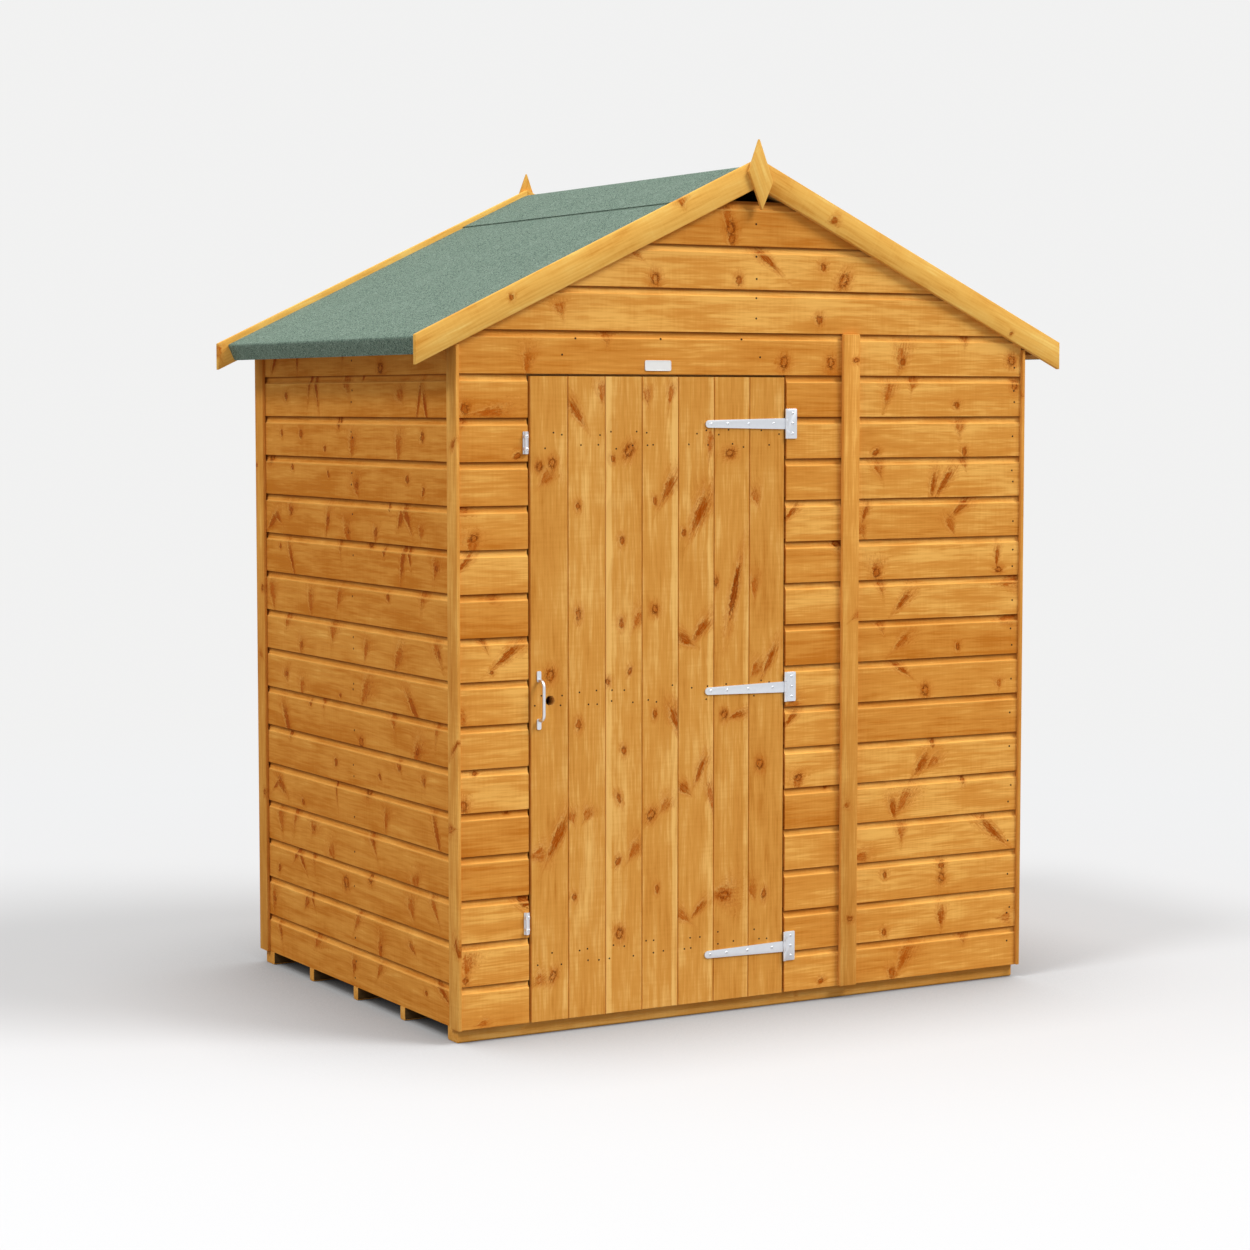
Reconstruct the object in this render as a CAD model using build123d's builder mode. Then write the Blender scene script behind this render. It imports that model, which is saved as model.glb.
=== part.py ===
"""Wooden garden shed: boarded floor, clad walls, pitched felt roof and a ledged door on tee hinges.

Millimetres, +Z up, the front faces -Y. The origin is on the ground at the middle of the plan.
"""

import os
from math import cos, radians, sin, tan

from build123d import *

# Overall sizes
shed_depth = 1338.0  # over the corner trims
roof_pitch = 25.2  # degrees

# Front panels, from left to right, over which the width adds up
latch_panel_width = 203.0  # cladding left of the doorway
doorway_width = 803.5
hinge_panel_width = 207.5  # cladding between the doorway and the panel joint
plain_panel_width = 596.0  # right of the panel joint

# Floor
bearer_height = 37.0
end_bearer_width = 60.0
inner_bearer_width = 30.0
inner_bearer_count = 3
bearer_edge_radius = 6.0
floor_thickness = 12.0

# Cladding: shiplap boards laid in whole courses
board_cover_height = 114.3
wall_courses = 16
door_courses = 15
cladding_thickness = 12.0

# Corner trims and the strips over the panel joints
trim_thickness = 10.0
trim_width = 57.0
trim_overhang = 8.0
trim_clearance = 0.4
strip_width = 54.0
strip_thickness = 14.0

# Timber of the wall frames
frame_depth = 28.0
frame_width = 38.0
joint_stud_gap = 2.0

# Roof
gable_edge_height = 11.2  # upright edge of the gable, wall top to roof boards
eaves_overhang = 84.0  # corner trim to the edge of the roof boards
gable_apex_gap = 82.4  # level top of the gable to the roof boards at the ridge
deck_thickness = 11.0
eaves_rail_depth = 36.0
felt_thickness = 3.0
felt_cap_reach = 247.0
rafter_ridge_gap = 2.0
barge_width = 70.0
barge_thickness = 16.0
barge_rise_height = 21.0
barge_overhang = 34.0  # past the edge of the roof boards
finial_height = 190.0
finial_width = 76.5
finial_thickness = 10.0
finial_drop_height = 44.5
finial_corner_shares = ((-0.065, 0.5), (0.51, -0.098), (0.06, -0.5), (-0.49, 0.038))

# Door
door_gap = 6.0
door_thickness = 12.0
door_stop_gap = 5.5
door_stop_overlap = 14.0
ledge_width = 70.0
ledge_thickness = 20.0
ledge_inset = 13.0
ledge_chamfer_width = 5.0
ledge_heights = (171.0, 858.0, 1541.0)  # above the foot of the door
lock_hole_diameter = 27.0
lock_inset = 58.5
lock_height = 855.0

# Tee hinges
hinge_heights = (130.0, 856.0, 1582.0)  # above the foot of the door
strap_length = 259.0
strap_root_width = 30.0
strap_tip_width = 20.0
hinge_thickness = 3.0
plate_reach = 35.0
plate_height = 82.0
plate_corner_radius = 3.0
pin_radius = 2.5
pin_clearance = 0.08
knuckle_radius = 4.5
knuckle_gap = 0.6
hinge_pin_inset = 3.5  # from the edge of the door to the pin

# Pull handle
handle_inset = 24.0
handle_height = 857.5
handle_length = 155.0
handle_standoff = 34.0
handle_grip_radius = 4.5
handle_bend_radius = 18.0
handle_foot_width = 12.5
handle_foot_length = 29.0
handle_foot_thickness = 3.0
handle_foot_radius = 4.0

# Keeps on the wall beside the door
keep_heights = (267.0, 1535.0)
keep_width = 16.0
keep_length = 59.0
keep_plate_thickness = 2.5
keep_corner_radius = 2.0
keep_barrel_radius = 4.6
keep_band_radius = 7.4
keep_band_length = 8.0
keep_band_spacing = 32.0
keep_barrel_offset = 2.0

# Places worked out from the sizes
pitch = radians(roof_pitch)
foot = bearer_height
floor_top = foot + floor_thickness
wall_top = foot + board_cover_height * wall_courses
doorway_top = foot + board_cover_height * door_courses

clad_half_width = (latch_panel_width + doorway_width + hinge_panel_width + plain_panel_width) / 2
shed_width = 2 * (clad_half_width + trim_thickness)
clad_half_depth = shed_depth / 2 - trim_overhang
frame_half_width = clad_half_width - cladding_thickness
frame_half_depth = clad_half_depth - cladding_thickness
room_half_width = frame_half_width - frame_depth
room_half_depth = frame_half_depth - frame_depth
floor_half_depth = clad_half_depth - door_thickness - door_stop_gap

rail_top = floor_top + frame_width
top_rail_foot = wall_top - frame_width

doorway_left = latch_panel_width - clad_half_width
doorway_right = doorway_left + doorway_width
panel_joint = clad_half_width - plain_panel_width
door_left = doorway_left + door_gap
door_right = doorway_right - door_gap
door_top = doorway_top - door_gap
pin_x = door_right + hinge_pin_inset
pin_y = -clad_half_depth - knuckle_radius

deck_drop = deck_thickness / cos(pitch)
ridge_height = wall_top + gable_edge_height + clad_half_width * tan(pitch) + deck_drop
gable_top = ridge_height - deck_drop - gable_apex_gap
slope_length = (shed_width / 2 + eaves_overhang) / cos(pitch)
felt_rise = felt_thickness / cos(pitch)
barge_drop = barge_width / cos(pitch)
barge_apex = ridge_height + barge_rise_height
barge_reach = shed_width / 2 + eaves_overhang + barge_overhang
eaves_depth = deck_thickness + eaves_rail_depth
trim_top = barge_apex - barge_drop - shed_width / 2 * tan(pitch) - trim_clearance

sides = (("left", -1), ("right", 1))
ends = (("front", 1), ("back", -1))


def on_slope(side, run, lift):
    """Point in the XZ plane, run down a slope from the ridge and lift above its boards."""
    x = side * (run * cos(pitch) + lift * sin(pitch))
    return x, ridge_height - run * sin(pitch) + lift * cos(pitch)


def under_deck(x):
    """Height of the underside of the roof boards at a distance x from the ridge."""
    return ridge_height - deck_drop - abs(x) * tan(pitch)


def keep(piece, name):
    """Label a finished piece and write it under its name."""
    piece.part.label = name
    export_step(piece.part, f"parts/{name}.step")


os.makedirs("parts", exist_ok=True)

# Floor: five bearers across the width, their lower edges eased, and the boards on them
with BuildPart() as floor_bearers:
    with BuildSketch(Plane.YZ):
        bearer_span = 2 * floor_half_depth - end_bearer_width
        bearer_pitch = bearer_span / (inner_bearer_count + 1)
        with Locations((-bearer_span / 2, bearer_height / 2), (bearer_span / 2, bearer_height / 2)):
            Rectangle(end_bearer_width, bearer_height)
        with Locations((0, bearer_height / 2)):
            with GridLocations(bearer_pitch, 0, inner_bearer_count, 1):
                Rectangle(inner_bearer_width, bearer_height)
    extrude(amount=clad_half_width, both=True)
    fillet(floor_bearers.edges().filter_by(Axis.X).group_by(Axis.Z)[0], bearer_edge_radius)
keep(floor_bearers, "floor_bearers")

with BuildPart() as floor_boards:
    with BuildSketch(Plane.XY.offset(foot)):
        Rectangle(2 * frame_half_width, 2 * floor_half_depth)
    extrude(amount=floor_thickness)
keep(floor_boards, "floor_boards")

# Front cladding: the boards beside the doorway, the one over it and the plain panel
front_panels = {
    "front_wall_left": (-clad_half_width, doorway_left, foot, doorway_top),
    "front_wall_middle": (doorway_right, panel_joint, foot, doorway_top),
    "front_wall_right": (panel_joint, clad_half_width, foot, wall_top),
    "front_wall_header": (-clad_half_width, panel_joint, doorway_top, wall_top),
}
for name, (left, right, bottom, top) in front_panels.items():
    with BuildPart() as front_panel:
        with BuildSketch(Plane.XZ.offset(frame_half_depth)):
            with Locations((left, bottom)):
                Rectangle(right - left, top - bottom, align=(Align.MIN, Align.MIN))
        extrude(amount=cladding_thickness)
    keep(front_panel, name)

with BuildPart() as back_wall:
    with BuildSketch(Plane.XZ.offset(-clad_half_depth)):
        with Locations((0, foot)):
            Rectangle(2 * clad_half_width, wall_top - foot, align=(Align.CENTER, Align.MIN))
    extrude(amount=cladding_thickness)
keep(back_wall, "back_wall")

# Side cladding, its top edge bevelled to lie under the roof boards
for side_name, side in sides:
    with BuildPart() as side_wall:
        with BuildSketch(Plane.XZ):
            with BuildLine():
                Polyline(
                    (side * frame_half_width, foot),
                    (side * clad_half_width, foot),
                    (side * clad_half_width, under_deck(clad_half_width)),
                    (side * frame_half_width, under_deck(frame_half_width)),
                    close=True,
                )
            make_face()
        extrude(amount=frame_half_depth, both=True)
    keep(side_wall, f"{side_name}_wall")

# Gables: cladding cut to the roof with a level top short of the ridge, and two sloping rails behind it
gable_top_half = (under_deck(0) - gable_top) / tan(pitch)
rafter_drop = frame_width / cos(pitch)
rafter_heel = (under_deck(0) - rafter_drop - wall_top) / tan(pitch)
rafter_head = rafter_ridge_gap / 2
for end_name, end in ends:
    face_depth = frame_half_depth if end > 0 else clad_half_depth
    with BuildPart() as gable:
        with BuildSketch(Plane.XZ.offset(end * face_depth)):
            with BuildLine():
                Polyline(
                    (-clad_half_width, wall_top),
                    (clad_half_width, wall_top),
                    (clad_half_width, under_deck(clad_half_width)),
                    (gable_top_half, gable_top),
                    (-gable_top_half, gable_top),
                    (-clad_half_width, under_deck(clad_half_width)),
                    close=True,
                )
            make_face()
        extrude(amount=cladding_thickness)
    keep(gable, f"{end_name}_gable")

    rail_depth = room_half_depth if end > 0 else frame_half_depth
    with BuildPart() as rafters:
        with BuildSketch(Plane.XZ.offset(end * rail_depth)):
            for side_name, side in sides:
                with BuildLine():
                    Polyline(
                        (side * frame_half_width, wall_top),
                        (side * frame_half_width, under_deck(frame_half_width)),
                        (side * rafter_head, under_deck(rafter_head)),
                        (side * rafter_head, under_deck(rafter_head) - rafter_drop),
                        (side * rafter_heel, wall_top),
                        close=True,
                    )
                make_face()
        extrude(amount=frame_depth)
    keep(rafters, f"{end_name}_rafters")

# Front frame: corner studs, a stud at each side of the doorway and of the panel joint
joint_stud_offset = (frame_width + joint_stud_gap) / 2
corner_stud = frame_half_width - frame_width / 2
frame_line = frame_half_depth - frame_depth / 2
front_stud_places = (
    -corner_stud,
    doorway_left - frame_width / 2,
    doorway_right + frame_width / 2,
    panel_joint - joint_stud_offset,
    panel_joint + joint_stud_offset,
    corner_stud,
)
with BuildPart() as front_studs:
    with BuildSketch(Plane.XY.offset(rail_top)):
        with Locations([(x, -frame_line) for x in front_stud_places]):
            Rectangle(frame_width, frame_depth)
    extrude(amount=top_rail_foot - rail_top)
keep(front_studs, "front_studs")

with BuildPart() as front_rails:
    with BuildSketch(Plane.XZ.offset(room_half_depth)):
        with Locations((-frame_half_width, floor_top)):
            Rectangle(doorway_left + frame_half_width, frame_width, align=(Align.MIN, Align.MIN))
        with Locations((doorway_right, floor_top)):
            Rectangle(frame_half_width - doorway_right, frame_width, align=(Align.MIN, Align.MIN))
        with Locations((0, top_rail_foot)):
            Rectangle(2 * frame_half_width, frame_width, align=(Align.CENTER, Align.MIN))
    extrude(amount=frame_depth)
keep(front_rails, "front_rails")

# Head rail between the doorway studs, set back so that the top of the door stops just clear of it
with BuildPart() as door_head:
    with BuildSketch(Plane.XZ.offset(room_half_depth)):
        with Locations((doorway_left, door_top - door_stop_overlap)):
            Rectangle(doorway_width, frame_width, align=(Align.MIN, Align.MIN))
    extrude(amount=frame_depth - door_stop_gap)
keep(door_head, "door_head")

# Back frame
back_stud_places = (
    -corner_stud,
    (panel_joint - joint_stud_offset - corner_stud) / 2,
    panel_joint - joint_stud_offset,
    panel_joint + joint_stud_offset,
    corner_stud,
)
with BuildPart() as back_studs:
    with BuildSketch(Plane.XY.offset(rail_top)):
        with Locations([(x, frame_line) for x in back_stud_places]):
            Rectangle(frame_width, frame_depth)
    extrude(amount=top_rail_foot - rail_top)
keep(back_studs, "back_studs")

with BuildPart() as back_rails:
    with BuildSketch(Plane.XZ.offset(-frame_half_depth)):
        with Locations((0, floor_top), (0, top_rail_foot)):
            Rectangle(2 * frame_half_width, frame_width, align=(Align.CENTER, Align.MIN))
    extrude(amount=frame_depth)
keep(back_rails, "back_rails")

# Side frames: three studs a side, a level bottom rail and a top rail bevelled under the roof boards
side_rail_foot = under_deck(frame_half_width) - frame_width
with BuildPart() as side_studs:
    with BuildSketch(Plane.XY.offset(rail_top)):
        with GridLocations(2 * room_half_width + frame_depth, room_half_depth - frame_width / 2, 2, 3):
            Rectangle(frame_depth, frame_width)
    extrude(amount=side_rail_foot - rail_top)
keep(side_studs, "side_studs")

with BuildPart() as side_rails:
    with BuildSketch(Plane.XZ):
        for side_name, side in sides:
            with Locations((side * (room_half_width + frame_depth / 2), floor_top + frame_width / 2)):
                Rectangle(frame_depth, frame_width)
            with BuildLine():
                Polyline(
                    (side * room_half_width, side_rail_foot),
                    (side * frame_half_width, side_rail_foot),
                    (side * frame_half_width, under_deck(frame_half_width)),
                    (side * room_half_width, under_deck(room_half_width)),
                    close=True,
                )
            make_face()
    extrude(amount=room_half_depth, both=True)
keep(side_rails, "side_rails")

# Roof: boards, a rail under each eave, felt folded over the eaves and a felt cap over the ridge
for side_name, side in sides:
    with BuildPart() as roof_deck:
        with BuildSketch(Plane.XZ):
            with BuildLine():
                Polyline(
                    (0, ridge_height),
                    on_slope(side, slope_length, 0),
                    on_slope(side, slope_length, -deck_thickness),
                    (0, ridge_height - deck_drop),
                    close=True,
                )
            make_face()
        extrude(amount=clad_half_depth, both=True)
    keep(roof_deck, f"{side_name}_roof_deck")

    with BuildPart() as eaves_rail:
        with BuildSketch(Plane.XZ):
            with BuildLine():
                Polyline(
                    on_slope(side, slope_length, -deck_thickness),
                    on_slope(side, slope_length, -eaves_depth),
                    on_slope(side, slope_length - frame_depth, -eaves_depth),
                    on_slope(side, slope_length - frame_depth, -deck_thickness),
                    close=True,
                )
            make_face()
        extrude(amount=clad_half_depth, both=True)
    keep(eaves_rail, f"{side_name}_eaves_rail")

    with BuildPart() as roof_felt:
        with BuildSketch(Plane.XZ):
            with BuildLine():
                Polyline(
                    (0, ridge_height),
                    on_slope(side, slope_length, 0),
                    on_slope(side, slope_length, -eaves_depth),
                    on_slope(side, slope_length + felt_thickness, -eaves_depth),
                    on_slope(side, slope_length + felt_thickness, felt_thickness),
                    (0, ridge_height + felt_rise),
                    close=True,
                )
            make_face()
        extrude(amount=clad_half_depth, both=True)
    keep(roof_felt, f"{side_name}_roof_felt")

with BuildPart() as ridge_felt:
    with BuildSketch(Plane.XZ):
        with BuildLine():
            Polyline(
                on_slope(-1, felt_cap_reach, felt_thickness),
                (0, ridge_height + felt_rise),
                on_slope(1, felt_cap_reach, felt_thickness),
                on_slope(1, felt_cap_reach, 2 * felt_thickness),
                (0, ridge_height + 2 * felt_rise),
                on_slope(-1, felt_cap_reach, 2 * felt_thickness),
                close=True,
            )
        make_face()
    extrude(amount=clad_half_depth, both=True)
keep(ridge_felt, "ridge_felt")

# Bargeboards, cut plumb at the ridge and at the eaves, and a diamond finial over each ridge joint
barge_end_top = barge_apex - barge_reach * tan(pitch)
finial_middle = barge_apex - finial_drop_height
for end_name, end in ends:
    barge_depth = clad_half_depth if end > 0 else clad_half_depth + barge_thickness
    for side_name, side in sides:
        with BuildPart() as bargeboard:
            with BuildSketch(Plane.XZ.offset(end * barge_depth)):
                with BuildLine():
                    Polyline(
                        (0, barge_apex),
                        (side * barge_reach, barge_end_top),
                        (side * barge_reach, barge_end_top - barge_drop),
                        (0, barge_apex - barge_drop),
                        close=True,
                    )
                make_face()
            extrude(amount=barge_thickness)
        keep(bargeboard, f"{end_name}_{side_name}_bargeboard")

    finial_depth = clad_half_depth + barge_thickness + (0 if end > 0 else finial_thickness)
    with BuildPart() as finial:
        with BuildSketch(Plane.XZ.offset(end * finial_depth)):
            with BuildLine():
                Polyline(
                    [
                        (end * across * finial_width, finial_middle + up * finial_height)
                        for across, up in finial_corner_shares
                    ],
                    close=True,
                )
            make_face()
        extrude(amount=finial_thickness)
    keep(finial, f"{end_name}_finial")

# Corner trims on the side walls, proud of the front and back, and strips over the panel joints
trim_line = shed_depth / 2 - trim_width / 2
for end_name, end in ends:
    for side_name, side in sides:
        with BuildPart() as corner_trim:
            with BuildSketch(Plane.XY.offset(foot)):
                with Locations((side * (clad_half_width + trim_thickness / 2), -end * trim_line)):
                    Rectangle(trim_thickness, trim_width)
            extrude(amount=trim_top - foot)
        keep(corner_trim, f"{end_name}_{side_name}_trim")

    strip_depth = clad_half_depth if end > 0 else clad_half_depth + strip_thickness
    with BuildPart() as cover_strip:
        with BuildSketch(Plane.XZ.offset(end * strip_depth)):
            with Locations((panel_joint, foot)):
                Rectangle(strip_width, wall_top - foot, align=(Align.CENTER, Align.MIN))
        extrude(amount=strip_thickness)
    keep(cover_strip, f"{end_name}_cover_strip")

# Door leaf with its lock hole, and three chamfered ledges on its back
lock_x = door_left + lock_inset
lock_z = foot + lock_height
with BuildPart() as door_boards:
    with BuildSketch(Plane.XZ.offset(clad_half_depth - door_thickness)):
        with Locations((door_left, foot)):
            Rectangle(door_right - door_left, door_top - foot, align=(Align.MIN, Align.MIN))
        with Locations((lock_x, lock_z)):
            Circle(lock_hole_diameter / 2, mode=Mode.SUBTRACT)
    extrude(amount=door_thickness)
keep(door_boards, "door_boards")

with BuildPart() as door_ledges:
    with BuildSketch(Plane.XZ.offset(clad_half_depth - door_thickness - ledge_thickness)):
        with Locations([((door_left + door_right) / 2, foot + height) for height in ledge_heights]):
            Rectangle(door_right - door_left - 2 * ledge_inset, ledge_width)
        with Locations((lock_x, lock_z)):
            Circle(lock_hole_diameter / 2, mode=Mode.SUBTRACT)
    extrude(amount=ledge_thickness)
    ledge_backs = door_ledges.edges().group_by(Axis.Y)[-1].filter_by(GeomType.LINE)
    chamfer(ledge_backs.filter_by(Axis.X), ledge_chamfer_width)
keep(door_ledges, "door_ledges")

# Tee hinges: a tapered strap with a bored knuckle on the door, a plate with two knuckles and the pin on the wall
strap_knuckle_half = strap_root_width / 2
strap_tip_half = strap_tip_width / 2
strap_tip = pin_x - strap_length
with BuildPart() as hinge_straps:
    for height in hinge_heights:
        level = foot + height
        with BuildSketch(Plane.XZ.offset(clad_half_depth)):
            with BuildLine():
                upper = Line((pin_x, level + strap_knuckle_half), (strap_tip + strap_tip_half, level + strap_tip_half))
                tip = ThreePointArc(
                    upper @ 1,
                    (strap_tip, level),
                    (strap_tip + strap_tip_half, level - strap_tip_half),
                )
                lower = Line(tip @ 1, (pin_x, level - strap_knuckle_half))
                Line(lower @ 1, upper @ 0)
            make_face()
        extrude(amount=hinge_thickness)
        with BuildSketch(Plane.XY.offset(level - strap_knuckle_half)):
            with Locations((pin_x, pin_y)):
                Circle(knuckle_radius)
        extrude(amount=strap_root_width)
        with BuildSketch(Plane.XY.offset(level - strap_knuckle_half)):
            with Locations((pin_x, pin_y)):
                Circle(pin_radius + pin_clearance)
        extrude(amount=strap_root_width, mode=Mode.SUBTRACT)
keep(hinge_straps, "hinge_straps")

plate_knuckle_start = strap_knuckle_half + knuckle_gap
plate_knuckle_length = plate_height / 2 - plate_knuckle_start
notch_reach = knuckle_radius + knuckle_gap
with BuildPart() as hinge_plates:
    for height in hinge_heights:
        level = foot + height
        with BuildSketch(Plane.XZ.offset(clad_half_depth)):
            with Locations((pin_x, level)):
                Rectangle(plate_reach, plate_height, align=(Align.MIN, Align.CENTER))
                Rectangle(notch_reach, 2 * plate_knuckle_start, align=(Align.MIN, Align.CENTER), mode=Mode.SUBTRACT)
        extrude(amount=hinge_thickness)
        with BuildSketch(Plane.XY.offset(level + plate_knuckle_start), Plane.XY.offset(level - plate_height / 2)):
            with Locations((pin_x, pin_y)):
                Circle(knuckle_radius)
        extrude(amount=plate_knuckle_length)
        with BuildSketch(Plane.XY.offset(level - plate_height / 2)):
            with Locations((pin_x, pin_y)):
                Circle(pin_radius)
        extrude(amount=plate_height)
    plate_corners = hinge_plates.edges().filter_by(Axis.Y).group_by(Axis.X)[-1]
    fillet(plate_corners, plate_corner_radius)
keep(hinge_plates, "hinge_plates")

# Pull handle: two flat feet and a round bar bowed out between them
handle_x = door_left + handle_inset
handle_z = foot + handle_height
grip_half = handle_length / 2 - handle_foot_length + handle_grip_radius
grip_line = -clad_half_depth - handle_standoff + handle_grip_radius
with BuildPart() as door_handle:
    with BuildSketch(Plane.XZ.offset(clad_half_depth)):
        with Locations((handle_x, handle_z)):
            with GridLocations(0, handle_length - handle_foot_length, 1, 2):
                RectangleRounded(handle_foot_width, handle_foot_length, handle_foot_radius)
    extrude(amount=handle_foot_thickness)
    with BuildLine(Plane.YZ.offset(handle_x)) as bow:
        FilletPolyline(
            (-clad_half_depth, handle_z + grip_half),
            (grip_line, handle_z + grip_half),
            (grip_line, handle_z - grip_half),
            (-clad_half_depth, handle_z - grip_half),
            radius=handle_bend_radius,
        )
    with BuildSketch(Plane(origin=bow.line @ 0, z_dir=bow.line % 0)):
        Circle(handle_grip_radius)
    sweep(path=bow.line)
keep(door_handle, "door_handle")

# Keeps: a plate with an upright barrel and two raised bands, beside the free edge of the door
keep_x = doorway_left - keep_width / 2
keep_barrel_y = -clad_half_depth - keep_plate_thickness - keep_barrel_offset
with BuildPart() as door_keeps:
    for height in keep_heights:
        level = foot + height
        with BuildSketch(Plane.XZ.offset(clad_half_depth)):
            with Locations((keep_x, level)):
                RectangleRounded(keep_width, keep_length, keep_corner_radius)
        extrude(amount=keep_plate_thickness)
        with BuildSketch(Plane.XY.offset(level - keep_length / 2)):
            with Locations((keep_x, keep_barrel_y)):
                Circle(keep_barrel_radius)
        extrude(amount=keep_length)
        for band in (-1, 1):
            with BuildSketch(Plane.XY.offset(level + band * keep_band_spacing / 2 - keep_band_length / 2)):
                with Locations((keep_x, keep_barrel_y)):
                    Circle(keep_band_radius)
            extrude(amount=keep_band_length)
        with BuildSketch(Plane.XZ.offset(clad_half_depth - cladding_thickness)):
            with Locations((keep_x, level)):
                Rectangle(2 * keep_width, 2 * keep_length)
        extrude(amount=cladding_thickness, mode=Mode.SUBTRACT)
keep(door_keeps, "door_keeps")
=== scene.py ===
"""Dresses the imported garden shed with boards, felt and zinc fittings, in a plain studio."""

import logging
import math
import random
from collections.abc import Iterable, Sequence
from dataclasses import dataclass, field
from enum import Enum
from functools import cache, reduce

import bmesh
import bpy
from mathutils import Matrix, Vector, noise


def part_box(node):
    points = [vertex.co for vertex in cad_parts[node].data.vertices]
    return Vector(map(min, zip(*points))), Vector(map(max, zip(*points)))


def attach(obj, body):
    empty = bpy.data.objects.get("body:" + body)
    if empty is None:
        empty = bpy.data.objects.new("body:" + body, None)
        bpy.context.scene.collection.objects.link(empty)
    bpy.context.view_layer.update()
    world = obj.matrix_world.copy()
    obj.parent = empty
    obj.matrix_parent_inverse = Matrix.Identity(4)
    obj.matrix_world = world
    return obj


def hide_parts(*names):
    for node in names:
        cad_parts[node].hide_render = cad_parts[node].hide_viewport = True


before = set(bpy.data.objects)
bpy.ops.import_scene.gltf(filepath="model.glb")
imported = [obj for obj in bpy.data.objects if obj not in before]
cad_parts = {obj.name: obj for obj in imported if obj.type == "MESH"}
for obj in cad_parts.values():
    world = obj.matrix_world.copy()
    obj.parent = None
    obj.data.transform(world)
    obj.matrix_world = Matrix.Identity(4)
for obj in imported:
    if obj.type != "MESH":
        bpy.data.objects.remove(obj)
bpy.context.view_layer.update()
log = logging.getLogger("garden_shed")

MM = 0.001
X = Vector((1.0, 0.0, 0.0))
Y = Vector((0.0, 1.0, 0.0))
Z = Vector((0.0, 0.0, 1.0))
AXES = (X, Y, Z)
QUARTER = math.radians(90.0)
ROOF_PITCH = math.radians(25.2)
WELD_GAP = 1e-6
FLAT_ANGLE = math.radians(1.0)
EASE_STEPS = 2
GRAIN_SPAN = 40.0  # each board's grain starts somewhere in this length of tree
MIDDLE = 0.5  # the mean of a random field
MIX_FIRST, MIX_SECOND, MIX_RESULT = 6, 7, 2  # the colour sockets of a mix node

Colour = tuple[float, float, float]
Socket = bpy.types.NodeSocket
Feed = Socket | float | Colour
Cut = tuple[Vector, Vector]
Point = tuple[float, float]
Floats = tuple[float, ...]


class Body(Enum):
    """The bodies that pieces ride on."""

    SHED = "shed"
    DOOR = "door"


class Slot(Enum):
    """The material slots of the record."""

    CLAD = "clad_wood"
    TRIM = "trim_wood"
    FRAME = "frame_wood"
    FELT = "felt"
    ZINC = "zinc"


class Side(Enum):
    """The side of the ridge that a piece of the roof lies on."""

    LEFT = -1
    RIGHT = 1


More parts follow.
